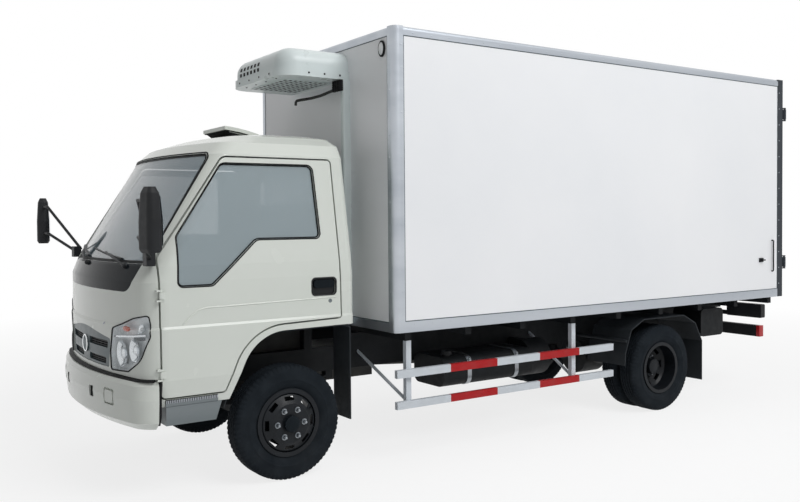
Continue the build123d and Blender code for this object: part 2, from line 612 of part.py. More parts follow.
# Cooling unit on the front wall: moulded shell on a flanged base, with the conduit down to the frame
UNIT_PLAN = [(-415, 663), (-415, 165, 130), (415, 165, 130), (415, 663)]
UNIT_Z = (2598, 2742)
BASE_Z = (2545, 2598)
unit = Pos(0, 0, UNIT_Z[0]) * extrude(outline_face(UNIT_PLAN), UNIT_Z[1] - UNIT_Z[0])
crown = unit.edges().group_by(Axis.Z)[-1].filter_by(lambda edge: edge.center().Y < 660)
unit = fillet(crown, 105)
base_plan = [(-428, 663), (-428, 152, 140), (428, 152, 140), (428, 663)]
unit += Pos(0, 0, BASE_Z[0]) * extrude(outline_face(base_plan), BASE_Z[1] - BASE_Z[0])
conduit = block((392, 438), (608, wall_face), (880, BASE_Z[0]))
conduit = fillet(conduit.edges().filter_by(Axis.Z).group_by(Axis.Y)[0], 15)
write("cooling_unit", unit + conduit)

# Steering knuckles: forks on the king pins, with the spindles that carry the front wheels
knuckle = rod((KINGPIN_X, 0, 292), (KINGPIN_X, 0, 414), KINGPIN_R)
for z_range in ((292, 312), (394, 414)):
    knuckle += rod((KINGPIN_X, 0, z_range[0]), (KINGPIN_X, 0, z_range[1]), 34)
    knuckle += block((KINGPIN_X, 650), (-34, 34), z_range)
knuckle += block((642, 660), (-45, 45), (292, 414))
knuckle += rod((655, 0, AXLE_Z), (795, 0, AXLE_Z), SPINDLE_R)
for side, part in zip(("left", "right"), both(knuckle)):
    write(f"knuckle_{side}", part)

# Wheels: tyres and steel rims, front single and rear twin
TYRE_HALF_PROFILE = [(60, BEAD_R), (60, 212), (84, 258), (81, 314), (58, TYRE_R)]
tyre_profile = TYRE_HALF_PROFILE + [(-x, r) for x, r in TYRE_HALF_PROFILE[::-1]]
# Barrel, flanges and dished disc; the disc's outer face lies at DISC_OFFSET
RIM_PROFILE = [
    (-70, 209), (-60, 209), (-60, RIM_R), (60, RIM_R), (60, 209), (70, 209), (70, 182), (54, 182), (66, 172),
    (DISC_OFFSET, 120), (DISC_OFFSET, 60), (DISC_OFFSET - 9, 60), (DISC_OFFSET - 9, 116), (58, 167),
    (42, 182), (-70, 182),
]
SLOT_COUNT = 8
SLOT_RING_R = 150
SLOT_SIZE = (120, 62, 24)


def rim():
    """A steel rim with slots round its disc, centred on the tyre."""
    part = revolve(make_face(Polyline(*RIM_PROFILE, close=True)), Axis.X)
    for step in range(SLOT_COUNT):
        part -= Rot(360 / SLOT_COUNT * step, 0, 0) * Pos(60, 0, SLOT_RING_R) * Box(*SLOT_SIZE)
    return part


def hub(x_range, bore, cap_end):
    """A hub with its brake drum and cap, bored for the spindle."""
    part = rod((x_range[0], 0, 0), (x_range[1], 0, 0), 64)
    part += rod((x_range[0], 0, 0), (x_range[0] + 70, 0, 0), 150)
    part += rod((x_range[1], 0, 0), (cap_end, 0, 0), 46)
    part -= rod((x_range[0] - 1, 0, 0), (x_range[1] + 1, 0, 0), bore)
    return part


tyre = revolve(make_face(Polyline(*tyre_profile, close=True)), Axis.X)
front_tyre = Pos(FRONT_TRACK_HALF, 0, AXLE_Z) * tyre
front_rim = Pos(FRONT_TRACK_HALF, 0, AXLE_Z) * (rim() + hub((-48, 93), SPINDLE_R + RUNNING_GAP, 122))
outer_place = Pos(REAR_OUTER_X, WHEELBASE, AXLE_Z)
inner_place = Pos(REAR_OUTER_X - TWIN_SPACING, WHEELBASE, AXLE_Z)
inner_rim = inner_place * (rim() + hub((-75, 93), REAR_SPINDLE_R + RUNNING_GAP, 94))
outer_rim = mirror(rim(), about=Plane.YZ) + rod((-93, 0, 0), (0, 0, 0), 62)
outer_rim -= rod((-94, 0, 0), (-12, 0, 0), REAR_SPINDLE_R + RUNNING_GAP)
for side, tyre_part, rim_part in zip(("left", "right"), both(front_tyre), both(front_rim)):
    write(f"front_tyre_{side}", tyre_part)
    write(f"front_rim_{side}", rim_part)
outer_tyres = both(outer_place * tyre)
inner_tyres = both(inner_place * tyre)
outer_rims = both(outer_place * outer_rim)
inner_rims = both(inner_rim)
for index, side in enumerate(("left", "right")):
    write(f"rear_tyres_{side}", outer_tyres[index], inner_tyres[index])
    write(f"rear_rims_{side}", outer_rims[index], inner_rims[index])
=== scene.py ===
import math

import bmesh
import bpy
from mathutils import Matrix, Vector
from mathutils.bvhtree import BVHTree


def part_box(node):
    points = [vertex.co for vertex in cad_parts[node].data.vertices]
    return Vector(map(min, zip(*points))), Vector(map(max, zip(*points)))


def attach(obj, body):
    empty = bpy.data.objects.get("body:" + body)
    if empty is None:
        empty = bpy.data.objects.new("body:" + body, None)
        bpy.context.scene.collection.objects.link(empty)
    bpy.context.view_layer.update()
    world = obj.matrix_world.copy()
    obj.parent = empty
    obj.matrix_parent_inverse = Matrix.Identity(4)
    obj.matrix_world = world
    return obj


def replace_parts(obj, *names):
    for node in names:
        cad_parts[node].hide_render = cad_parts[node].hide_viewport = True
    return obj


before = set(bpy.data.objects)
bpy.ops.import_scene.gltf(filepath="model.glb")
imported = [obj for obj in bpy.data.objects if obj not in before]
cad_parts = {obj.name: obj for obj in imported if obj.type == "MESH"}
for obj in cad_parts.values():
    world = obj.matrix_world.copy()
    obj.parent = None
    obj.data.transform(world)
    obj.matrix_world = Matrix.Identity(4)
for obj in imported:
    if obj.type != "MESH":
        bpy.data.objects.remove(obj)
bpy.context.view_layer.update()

# Places are in metres in the part's frame: X to the truck's left, Y to its rear, Z up.
# Stations behind the front axle are turned into Y by at().
CHASSIS = "chassis"
SIDES = (("left", 1), ("right", -1))
SIGNS = (1, -1)


def middle(node):
    """The middle of a node's box."""
    low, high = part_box(node)
    return (Vector(low) + Vector(high)) / 2


AXLE_Y = middle("front_tyre_left").y


def at(x, station, z):
    """A point given by its station behind the front axle."""
    return Vector((x, AXLE_Y + station, z))


# Materials
def srgb(red, green, blue):
    """An 8-bit screen colour as linear RGBA."""
    shares = [value / 255 for value in (red, green, blue)]
    linear = [share / 12.92 if share <= 0.04045 else ((share + 0.055) / 1.055) ** 2.4 for share in shares]
    return (*linear, 1.0)


class Nodes:
    """Short calls on a node tree."""

    def __init__(self, tree):
        self.nodes = tree.nodes
        self.links = tree.links

    def feed(self, socket, value):
        """Gives a socket a constant or another node's output."""
        if isinstance(value, (int, float, tuple)):
            socket.default_value = value
        else:
            self.links.new(value, socket)

    def spread(self, value, *ends):
        """Maps a value between ranges: from low, from high, to low, to high."""
        node = self.nodes.new("ShaderNodeMapRange")
        for socket, end in zip(("From Min", "From Max", "To Min", "To Max"), ends):
            self.feed(node.inputs[socket], end)
        self.links.new(value, node.inputs["Value"])
        return node.outputs["Result"]

    def mix(self, share, first, second):
        """A blend of two colours."""
        node = self.nodes.new("ShaderNodeMix")
        node.data_type = "RGBA"
        self.links.new(share, node.inputs["Factor"])
        self.feed(node.inputs[6], first)
        self.feed(node.inputs[7], second)
        return node.outputs[2]

    def axes(self, place):
        """X, Y and Z of a place."""
        split = self.nodes.new("ShaderNodeSeparateXYZ")
        self.links.new(place, split.inputs["Vector"])
        return split.outputs

    def math(self, operation, *values):
        """One operation on other nodes' outputs."""
        node = self.nodes.new("ShaderNodeMath")
        node.operation = operation
        for socket, value in zip(node.inputs, values):
            self.links.new(value, socket)
        return node.outputs["Value"]

    def shown_rays(self):
        """One for rays that show the backdrop: from the camera, in gloss and through glass."""
        rays = self.nodes.new("ShaderNodeLightPath").outputs
        shown = self.math("MAXIMUM", rays["Is Camera Ray"], rays["Is Glossy Ray"])
        return self.math("MAXIMUM", shown, rays["Is Transmission Ray"])


class Surface(Nodes):
    """A node material on one Principled shader, with noise in object space."""

    def __init__(self, name):
        self.material = bpy.data.materials.new(name)
        self.material.use_nodes = True
        super().__init__(self.material.node_tree)
        self.shader = self.nodes["Principled BSDF"]
        self.place = self.nodes.new("ShaderNodeTexCoord").outputs["Object"]

    def noise(self, scale, detail=4.0, stretch=(1, 1, 1)):
        mapping = self.nodes.new("ShaderNodeMapping")
        mapping.inputs["Scale"].default_value = stretch
        self.links.new(self.place, mapping.inputs["Vector"])
        texture = self.nodes.new("ShaderNodeTexNoise")
        texture.inputs["Scale"].default_value = scale
        texture.inputs["Detail"].default_value = detail
        self.links.new(mapping.outputs["Vector"], texture.inputs["Vector"])
        return texture.outputs["Fac"]

    def set(self, **values):
        """Feeds the shader's sockets, named with _ for spaces."""
        for socket, value in values.items():
            self.feed(self.shader.inputs[socket.replace("_", " ")], value)

    def bump(self, height, distance):
        node = self.nodes.new("ShaderNodeBump")
        node.inputs["Distance"].default_value = distance
        node.inputs["Strength"].default_value = 1.0
        self.links.new(height, node.inputs["Height"])
        self.set(Normal=node.outputs["Normal"])


ROAD_DUST = (120, 116, 108)


def finish(name, first, second, rough, patch, grain=0.0, depth=0.0, stretch=(1, 1, 1), dust=None,
           dust_colour=ROAD_DUST, shine=0.5, **values):
    """A surface that wanders between two colours, with uneven gloss and a fine grain.

    Dust lies low down, up to a height and with a share at the ground.
    """
    surface = Surface(name)
    cloud = surface.noise(patch, stretch=stretch)
    colour = surface.mix(surface.spread(cloud, 0.3, 0.7, 0.0, 1.0), srgb(*first), srgb(*second))
    if dust:
        low = surface.spread(surface.axes(surface.place)["Z"], 0.0, *dust, 0.0)
        speckle = surface.spread(surface.noise(11.0, 8.0), 0.3, 0.7, 0.2, 1.0)
        colour = surface.mix(surface.math("MULTIPLY", low, speckle), colour, srgb(*dust_colour))
    gloss = surface.noise(patch * 4, 6.0, stretch)
    surface.set(Base_Color=colour, Roughness=surface.spread(gloss, 0.3, 0.7, *rough),
                Specular_IOR_Level=shine, **values)
    if depth:
        surface.bump(surface.noise(grain, 3.0, stretch), depth)
    return surface.material


CAB_PAINT = finish("cab_paint", (211, 216, 209), (216, 220, 214), (0.22, 0.28), 1.2,
                   dust=(0.9, 0.08), dust_colour=(170, 168, 158), shine=0.3, Coat_Weight=0.25,
                   Coat_Roughness=0.06)
PANEL_WHITE = finish("panel_white", (236, 238, 241), (242, 243, 245), (0.28, 0.36), 0.8, 260.0, 0.00008)
RAIL_METAL = finish("rail_metal", (168, 174, 182), (190, 195, 201), (0.34, 0.46), 6.0, 600.0, 0.00004,
                    stretch=(1, 0.06, 1), Metallic=0.85)
STEEL = finish("brushed_steel", (140, 145, 150), (165, 169, 173), (0.26, 0.4), 8.0, 700.0, 0.00005,
               stretch=(1, 1, 0.08), Metallic=1.0)
# A darker, duller copy of the brushed steel for the rear frame and door fittings: painted shade
SHADED_REAR_STEEL = finish("rear_steel", (48, 52, 58), (60, 65, 71), (0.4, 0.54), 8.0, 700.0, 0.00005,
                    stretch=(1, 1, 0.08), Metallic=0.3, shine=0.15)
STEP_METAL = finish("step_metal", (102, 110, 113), (118, 125, 128), (0.34, 0.48), 6.0, 700.0, 0.00005,
                    stretch=(1, 0.08, 1), dust=(0.7, 0.25), Metallic=0.7)
CHROME = finish("chrome", (225, 228, 230), (238, 240, 241), (0.04, 0.09), 5.0, 300.0, 0.00002, Metallic=1.0)
LAMP_SILVER = finish("lamp_silver", (206, 211, 215), (220, 224, 227), (0.1, 0.14), 2.0, Metallic=0.9)
LAMP_PAN = finish("lamp_pan", (226, 231, 233), (236, 240, 242), (0.24, 0.32), 2.0, Metallic=0.1)
# Dark finish used only for the painted shadows under the headlamp dividers
LAMP_SHADOW_PAINT = finish("lamp_painted_shadow", (56, 62, 67), (70, 76, 81), (0.3, 0.42), 10.0, Metallic=0.4)
MIRROR = finish("mirror", (96, 103, 109), (106, 113, 119), (0.05, 0.1), 3.0, Metallic=1.0)
FRAME_BLACK = finish("frame_black", (14, 17, 20), (22, 25, 28), (0.5, 0.68), 5.0, 320.0, 0.0003,
                     dust=(0.9, 0.05), shine=0.18)
RIM_BLACK = finish("rim_black", (16, 20, 25), (25, 29, 34), (0.32, 0.46), 9.0, 420.0, 0.0002,
                   dust=(0.8, 0.03), shine=0.2)
RUBBER = finish("tyre_rubber", (26, 31, 36), (36, 41, 46), (0.6, 0.78), 12.0, 700.0, 0.0003,
                dust=(0.75, 0.03), shine=0.04)
SEAL_RUBBER = finish("seal_rubber", (12, 13, 15), (20, 21, 23), (0.52, 0.68), 14.0, 900.0, 0.00015,
                     shine=0.15)
BLACK_PLASTIC = finish("black_plastic", (18, 20, 23), (28, 30, 33), (0.42, 0.56), 9.0, 1300.0, 0.00025,
                       shine=0.25)
GUARD_PLASTIC = finish("guard_plastic", (36, 40, 44), (46, 50, 54), (0.55, 0.7), 6.0, 900.0, 0.0003,
                       dust=(0.9, 0.06), shine=0.18)
GLOSS_BLACK = finish("gloss_black", (20, 26, 31), (28, 34, 39), (0.1, 0.2), 4.0, 500.0, 0.00004, shine=0.06)
GRILLE_GREY = finish("grille_grey", (74, 87, 91), (88, 100, 104), (0.3, 0.42), 5.0, 900.0, 0.0001, shine=0.35)
UNIT_WHITE = finish("unit_white", (206, 216, 216), (214, 223, 223), (0.26, 0.36), 2.0, 500.0, 0.0001)
DASH_GREY = finish("dash_grey", (84, 88, 91), (98, 102, 105), (0.55, 0.7), 9.0, 900.0, 0.0006)
CAST_METAL = finish("cast_metal", (48, 49, 50), (70, 70, 68), (0.55, 0.75), 9.0, 260.0, 0.0008,
                    dust=(0.9, 0.25), shine=0.25)
COLOURED_LENS = {"patch": 20.0, "grain": 300.0, "depth": 0.0003, "Coat_Weight": 0.5}
LAMP_AMBER = finish("lamp_amber", (214, 72, 30), (228, 92, 40), (0.12, 0.22), **COLOURED_LENS)
LAMP_RED = finish("lamp_red", (150, 18, 18), (176, 26, 24), (0.12, 0.22), **COLOURED_LENS)
LAMP_WHITE = finish("lamp_white", (214, 218, 220), (230, 232, 234), (0.1, 0.2), **COLOURED_LENS)
GUARD_RED = finish("guard_red", (168, 22, 28), (180, 32, 36), (0.3, 0.44), 6.0, 500.0, 0.0001)


def clear(name, tint, alpha, rough):
    """See-through glass or lens, a little uneven in gloss."""
    surface = Surface(name)
    deep_tint = tuple(0.92 * part for part in tint[:3]) + (1.0,)
    surface.set(Base_Color=surface.mix(surface.noise(2.0), deep_tint, tint),
                Roughness=surface.spread(surface.noise(30.0, 6.0), 0.3, 0.7, *rough),
                Alpha=alpha, Coat_Weight=0.8, Coat_Roughness=0.02, IOR=1.5)
    return surface.material


WINDOW_GLASS = clear("window_glass", srgb(176, 192, 198), 0.5, (0.02, 0.05))
SCREEN_GLASS = clear("screen_glass", srgb(138, 160, 171), 0.56, (0.02, 0.05))
LENS = clear("lamp_lens", srgb(226, 232, 236), 0.16, (0.02, 0.06))

# Edges of the red bands on the side guard: station, and whether red starts there
GUARD_EDGES = ((1.129, True), (1.541, False), (1.938, True), (2.345, False))
GUARD_BAR_X = 0.905


def banded_paint():
    """Silver guard paint with red bands along the bars."""
    low_y, high_y = [corner[1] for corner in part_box("side_guards")]
    silver = srgb(206, 212, 218)
    red = srgb(170, 10, 18)
    surface = Surface("guard_paint")
    axes = surface.axes(surface.place)
    ramp = surface.nodes.new("ShaderNodeValToRGB")
    ramp.color_ramp.interpolation = "CONSTANT"
    stops = ramp.color_ramp.elements
    stops[0].color = silver
    for index, (station, starts_red) in enumerate(GUARD_EDGES):
        share = (AXLE_Y + station - low_y) / (high_y - low_y)
        stop = stops.new(share) if index else stops[1]
        stop.position = share
        stop.color = red if starts_red else silver
    surface.links.new(surface.spread(axes["Y"], low_y, high_y, 0.0, 1.0), ramp.inputs["Fac"])
    from_middle = surface.math("ABSOLUTE", axes["X"])
    on_bar = surface.spread(from_middle, GUARD_BAR_X + 0.001, GUARD_BAR_X + 0.002, 0.0, 1.0)
    paint = surface.mix(on_bar, silver, ramp.outputs["Color"])
    dirt = surface.spread(surface.noise(14.0, 8.0), 0.35, 0.75, 0.0, 0.1)
    surface.set(Base_Color=surface.mix(dirt, paint, srgb(120, 116, 110)),
                Roughness=surface.spread(surface.noise(9.0), 0.3, 0.7, 0.3, 0.44), Specular_IOR_Level=0.25)
    surface.bump(surface.noise(500.0), 0.0001)
    return surface.material


def cloth(name, first, second):
    """Woven seat cloth from two crossed waves."""
    surface = Surface(name)
    waves = []
    for direction in ("X", "Z"):
        wave = surface.nodes.new("ShaderNodeTexWave")
        wave.bands_direction = direction
        wave.inputs["Scale"].default_value = 180.0
        wave.inputs["Distortion"].default_value = 0.6
        surface.links.new(surface.place, wave.inputs["Vector"])
        waves.append(wave.outputs["Fac"])
    weave = surface.math("MULTIPLY", *waves)
    surface.set(Base_Color=surface.mix(weave, first, second), Sheen_Weight=0.3,
                Roughness=surface.spread(surface.noise(20.0), 0.3, 0.7, 0.82, 0.95))
    surface.bump(weave, 0.0012)
    return surface.material


GUARD_PAINT = banded_paint()
SEAT_CLOTH = cloth("seat_cloth", srgb(96, 100, 106), srgb(132, 136, 142))

# Finish and its nodes; a star stands for each side
NODE_FINISH = (
    (FRAME_BLACK, "frame_rails frame_cross_pieces axles_and_springs underframe_units knuckle_*"),
    (CAB_PAINT, "front_bumper cab_front cab_rear_shell cab_roof cab_door_*"),
    (PANEL_WHITE, "box_roof box_walls box_door_*"),
    (RAIL_METAL, "box_floor box_edge_rails"),
    (SHADED_REAR_STEEL, "rear_frame box_door_fittings_*"),
    (BLACK_PLASTIC, "tail_lamps mirrors"),
    (DASH_GREY, "cab_floor dash_and_wheel"),
    (CAST_METAL, "drive_train"),
    (GUARD_PAINT, "side_guards"),
    (GUARD_PLASTIC, "mudguards"),
    (GLOSS_BLACK, "cowl_panel"),
    (GRILLE_GREY, "grille"),
    (LENS, "headlamps"),
    (SCREEN_GLASS, "cab_glass"),
    (WINDOW_GLASS, "door_glass_*"),
    (STEP_METAL, "cab_steps"),
    (SEAT_CLOTH, "seats"),
    (UNIT_WHITE, "cooling_unit"),
    (RUBBER, "front_tyre_* rear_tyres_*"),
    (RIM_BLACK, "front_rim_* rear_rims_*"),
)
for material, words in NODE_FINISH:
    for node in [word.replace("*", side) for word in words.split() for side, _ in SIDES]:
        for material_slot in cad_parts[node].material_slots:
            material_slot.material = material


# Mesh building
def circle(centre, side, other, radius, count):
    """Points round a circle in the plane of two unit vectors."""
    turns = [2 * math.pi * step / count for step in range(count)]
    return [centre + radius * (math.cos(turn) * side + math.sin(turn) * other) for turn in turns]


class Piece:
    """Collects the faces of one modelled piece, which waits to be made."""

    waiting = []

    def __init__(self, name, material, body=CHASSIS, smooth=35):
        self.name = name
        self.material = material
        self.body = body
        self.smooth = smooth
        self.mesh = bmesh.new()
        self.waiting.append(self)

    def box(self, low, high, bevel):
        """A box between two corners, with rounded edges."""
        corners = [self.mesh.verts.new((x, y, z))
                   for x in (low[0], high[0]) for y in (low[1], high[1]) for z in (low[2], high[2])]
        sides = ((0, 1, 3, 2), (4, 6, 7, 5), (0, 4, 5, 1), (2, 3, 7, 6), (0, 2, 6, 4), (1, 5, 7, 3))
        faces = [self.mesh.faces.new([corners[index] for index in side]) for side in sides]
        edges = list({edge for face in faces for edge in face.edges})
        bmesh.ops.bevel(self.mesh, geom=edges, offset=bevel, segments=2, affect="EDGES", profile=0.6)

    def rings(self, rings, closed=False, caps=True):
        """Joins rings of points into a skin, closed on itself or capped."""
        made = [[self.mesh.verts.new(point) for point in ring] for ring in rings]
        pairs = list(zip(made, made[1:]))
        if closed:
            pairs.append((made[-1], made[0]))
        for first, second in pairs:
            count = len(first)
            for index in range(count):
                after = (index + 1) % count
                self.mesh.faces.new((first[index], first[after], second[after], second[index]))
        if caps and not closed:
            self.mesh.faces.new(made[0][::-1])
            self.mesh.faces.new(made[-1])

    def tube(self, points, radius, sides=10):
        """A round bar along a path."""
        path = [Vector(point) for point in points]
        rings = []
        side = None
        for index, point in enumerate(path):
            before = path[max(index - 1, 0)]
            after = path[min(index + 1, len(path) - 1)]
            along = (after - before).normalized()
            if side is None:
                side = along.orthogonal().normalized()
            side = (side - along * side.dot(along)).normalized()
            rings.append(circle(point, side, along.cross(side), radius, sides))
        self.rings(rings)

    def lathe(self, profile, centre, axis, steps=24, closed=False, caps=True):
        """A profile of (distance along the axis, radius) turned about it."""
        axis = Vector(axis).normalized()
        side = axis.orthogonal().normalized()
        self.rings([circle(Vector(centre) + axis * along, side, axis.cross(side), radius, steps)
                    for along, radius in profile], closed, caps)

    def bolt(self, place, axis, radius, height):
        """A hexagon bolt head on a washer."""
        self.lathe([(0, radius * 1.5), (height * 0.3, radius * 1.45)], place, axis, 12)
        self.lathe([(height * 0.3, radius), (height * 0.9, radius), (height, radius * 0.8)], place, axis, 6)

    def rivet(self, place, axis, radius):
        """A low dome."""
        self.lathe([(-radius * 0.2, radius), (radius * 0.3, radius * 0.8), (radius * 0.5, radius * 0.3)],
                   place, axis, 8)

    def plate(self, points, offset, bevel=0.0):
        """A flat outline drawn out by an offset."""
        first = [Vector(point) for point in points]
        before = set(self.mesh.edges)
        self.rings([first, [point + Vector(offset) for point in first]])
        if bevel:
            edges = [edge for edge in self.mesh.edges if edge not in before]
            bmesh.ops.bevel(self.mesh, geom=edges, offset=bevel, segments=2, affect="EDGES")

    def band(self, outer, inner, lift, thickness):
        """A closed band between two loops on a skin, each as places and normals, raised above it."""
        self.rings([[a + normal * (lift - thickness), a + normal * lift,
                     b + normal * lift, b + normal * (lift - thickness)]
                    for a, b, normal in zip(outer[0], inner[0], outer[1])], closed=True)

    def bead(self, points, normals, width, height, closed=True, sink=0.0):
        """A half-round bead along points on a skin, or sunk below it; one normal may serve for all."""
        if isinstance(normals, Vector):
            normals = [normals] * len(points)
        path = [point - normal * sink for point, normal in zip(points, normals)]
        rings = []
        for index, (point, normal) in enumerate(zip(path, normals)):
            before = path[index - 1] if index or closed else point
            after = path[(index + 1) % len(path)] if index + 1 < len(path) or closed else point
            across = (after - before).normalized().cross(normal)
            rings.append([point + across * (width / 2 * a) + normal * (height * b)
                          for a, b in ((-1, -0.4), (-0.8, 0.6), (0, 1), (0.8, 0.6), (1, -0.4))])
        self.rings(rings, closed)

    def done(self):
        """Makes the object, with its material, on the body that it moves with."""
        self.waiting.remove(self)
        bmesh.ops.recalc_face_normals(self.mesh, faces=self.mesh.faces)
        data = bpy.data.meshes.new(self.name)
        self.mesh.to_mesh(data)
        self.mesh.free()
        data.polygons.foreach_set("use_smooth", [True] * len(data.polygons))
        data.set_sharp_from_angle(angle=math.radians(self.smooth))
        data.materials.append(self.material)
        made = bpy.data.objects.new(self.name, data)
        bpy.context.collection.objects.link(made)
        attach(made, self.body)
        return made


class Skin:
    """The surface of some CAD nodes, found by shooting rays at it."""

    def __init__(self, *nodes):
        points = []
        faces = []
        for node in nodes:
            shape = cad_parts[node]
            first = len(points)
            points.extend(shape.matrix_world @ vertex.co for vertex in shape.data.vertices)
            faces.extend([first + index for index in face.vertices] for face in shape.data.polygons)
        self.tree = BVHTree.FromPolygons(points, faces)

    def hit(self, start, direction):
        """The first point of the surface along a ray, with its normal facing the ray."""
        place, normal, _, _ = self.tree.ray_cast(Vector(start), Vector(direction))
        if place is None:
            return None, None
        return place, (normal if normal.dot(Vector(direction)) < 0 else -normal)

    def front(self, x, z):
        return self.hit((x, -6.0, z), (0, 1, 0))

    def side(self, station, z, sign):
        return self.hit(at(3.0 * sign, station, z), (-sign, 0, 0))

    def fronts(self, points, sign=1):
        """Places and normals where points in X and Z meet the front; what misses is left out."""
        hits = [self.front(sign * x, z) for x, z in points]
        return [place for place, _ in hits if place], [normal for _, normal in hits if normal]

    def sides(self, points, sign):
        """Places and normals where points in station and Z meet one side."""
        hits = [self.side(station, z, sign) for station, z in points]
        return [place for place, _ in hits], [normal for _, normal in hits]


CORNER_PARTS = 6


def rounded(corners, step):
    """Points round an outline of corners (a, b, radius), as the solids have them."""
    points = []
    count = len(corners)
    for index, (a, b, radius) in enumerate(corners):
        here = Vector((a, b))
        to_before = (Vector(corners[index - 1][:2]) - here).normalized()
        to_after = (Vector(corners[(index + 1) % count][:2]) - here).normalized()
        half = to_before.angle(to_after) / 2
        centre = here + (to_before + to_after).normalized() * (radius / math.sin(half))
        start = here + to_before * (radius / math.tan(half)) - centre
        end = here + to_after * (radius / math.tan(half)) - centre
        sign = 1 if start.cross(end) > 0 else -1
        for part in range(CORNER_PARTS + 1):
            turn = sign * (math.pi - 2 * half) * part / CORNER_PARTS
            points.append(centre + Matrix.Rotation(turn, 2) @ start)
    dense = []
    for first, second in zip(points, points[1:] + points[:1]):
        parts = max(1, round((second - first).length / step))
        dense.extend(first.lerp(second, part / parts) for part in range(parts))
    return dense


def rectangle(low_a, high_a, low_b, high_b, radius, step):
    """Points round a rectangle with rounded corners."""
    corners = ((low_a, low_b), (high_a, low_b), (high_a, high_b), (low_a, high_b))
    return rounded([(a, b, radius) for a, b in corners], step)


def offset_loop(points, amount):
    """A loop of 2-D points moved outward, or inward if the amount is negative."""
    area = sum(a.cross(b) for a, b in zip(points, points[1:] + points[:1]))
    sign = 1 if area > 0 else -1
    moved = []
    for before, here, after in zip(points[-1:] + points[:-1], points, points[1:] + points[:1]):
        along = (after - before).normalized()
        moved.append(here + Vector((along.y, -along.x)) * (sign * amount))
    return moved


def between(first, second, steps):
    """Evenly spaced 2-D points from one to another."""
    return [Vector(first).lerp(Vector(second), step / steps) for step in range(steps + 1)]


# Tyres with tread. Half of the section: distance from the middle, radius
TYRE_WALL = (
    (0.058, 0.192), (0.06, 0.198), (0.06, 0.213), (0.067, 0.222), (0.076, 0.236), (0.0815, 0.252),
    (0.0835, 0.262), (0.0845, 0.2635), (0.0845, 0.2665), (0.0838, 0.268), (0.0838, 0.29), (0.0815, 0.308),
    (0.0785, 0.322),
)
TYRE_SHOULDER = ((0.0745, 0.333), (0.067, 0.345), (0.059, 0.351))
CROWN_R = 0.3525
GROOVES = (0.037, 0.0125, -0.0125, -0.037)
GROOVE_DEPTH = 0.008
# Section of a groove: reach, depth
GROOVE_SECTION = ((0.0042, 0), (0.0028, GROOVE_DEPTH), (-0.0028, GROOVE_DEPTH), (-0.0042, 0))
LUGS = 72
LUG_DEPTH = 0.003
# Rings of one lug: share of its pitch, depth sunk, shift of the grooves
LUG_RINGS = ((0, 0, -0.0025), (0.5, 0, 0.0025), (0.57, LUG_DEPTH, 0.0018), (0.93, LUG_DEPTH, -0.0018))


def tyre(piece, centre):
    """One tyre about the wheel's axis: shoulder sunk between lugs, grooves shifted to and fro."""
    rings = []
    for lug in range(LUGS):
        for share, sunk, zigzag in LUG_RINGS:
            turn = 2 * math.pi * (lug + share) / LUGS
            half = list(TYRE_WALL) + [(x - 0.3 * sunk, r - sunk) for x, r in TYRE_SHOULDER]
            crown = [(groove + reach + zigzag, CROWN_R - depth)
                     for groove in GROOVES for reach, depth in GROOVE_SECTION]
            section = half + crown + [(-x, r) for x, r in half[::-1]]
            rings.append([centre + Vector((x, r * math.cos(turn), r * math.sin(turn))) for x, r in section])
    piece.rings(rings, closed=True)


# Wheel nuts, hub caps, axle flanges and valves. Sections: distance along the axle, radius
BACK = Vector((0, 1, 0))
UP = Vector((0, 0, 1))
NUT_RING_R = 0.09
NUT_PARTS = (
    (((0, 0.019), (0.004, 0.0185)), 14),
    (((0.004, 0.0135), (0.018, 0.0135), (0.022, 0.011)), 6),
    (((0.02, 0.008), (0.03, 0.0078), (0.032, 0.006)), 10),
)
CAP_DOME = ((-0.006, 0.05), (-0.001, 0.05), (0.004, 0.04), (0.006, 0.02), (0.0065, 0.004))
CAP_RING = ((-0.012, 0.0475), (-0.012, 0.052), (-0.009, 0.052), (-0.009, 0.0475))
CAP_OFFSET = 0.122
FLANGE = ((-0.002, 0.064), (0.003, 0.062), (0.012, 0.04), (0.014, 0.012))
FLANGE_BOLT_R = 0.052
VALVE_AT = (0.062, 0.15, 0.078)
VALVE_BENDS = ((0, 0, 0), (0.018, -0.006, -0.003), (0.034, -0.016, -0.008))
DISC_OFFSET = 0.094
DISC_WALL = 0.009
TWIN_HALF = 0.094
for side, sign in SIDES:
    out = Vector((sign, 0, 0))
    front = middle(f"front_tyre_{side}")
    rear = middle(f"rear_tyres_{side}")
    outer = rear + out * TWIN_HALF
    inner = rear - out * TWIN_HALF
    front_body = f"front_wheel_{side}"
    rear_body = f"rear_wheels_{side}"
    for node, body, centres in ((f"front_tyre_{side}", front_body, (front,)),
                                (f"rear_tyres_{side}", rear_body, (outer, inner))):
        tread = Piece(f"tread_{node}", RUBBER, body, 28)
        for centre in centres:
            tyre(tread, centre)
        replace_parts(tread.done(), node)
    for name, body, face in ((f"front_nuts_{side}", front_body, front + out * DISC_OFFSET),
                             (f"rear_nuts_{side}", rear_body, outer - out * (DISC_OFFSET - DISC_WALL))):
        nuts = Piece(name, STEEL, body)
        for place in circle(face, BACK, UP, NUT_RING_R, 6):
            for profile, steps in NUT_PARTS:
                nuts.lathe(profile, place, out, steps)
    cap = Piece(f"hub_cap_{side}", GLOSS_BLACK, front_body)
    cap.lathe(CAP_DOME, front + out * CAP_OFFSET, out, 32)
    cap.lathe(CAP_RING, front + out * CAP_OFFSET, out, 32, closed=True)
    flange = Piece(f"axle_flange_{side}", RIM_BLACK, rear_body)
    flange.lathe(FLANGE, outer, out, 28)
    for place in circle(outer + out * 0.001, BACK, UP, FLANGE_BOLT_R, 8):
        flange.bolt(place, out, 0.006, 0.008)
    valve = Piece(f"valve_{side}", BLACK_PLASTIC, front_body)
    foot = front + Vector((sign * VALVE_AT[0], *VALVE_AT[1:]))
    valve.tube([foot + Vector((sign * x, y, z)) for x, y, z in VALVE_BENDS], 0.0045, 8)

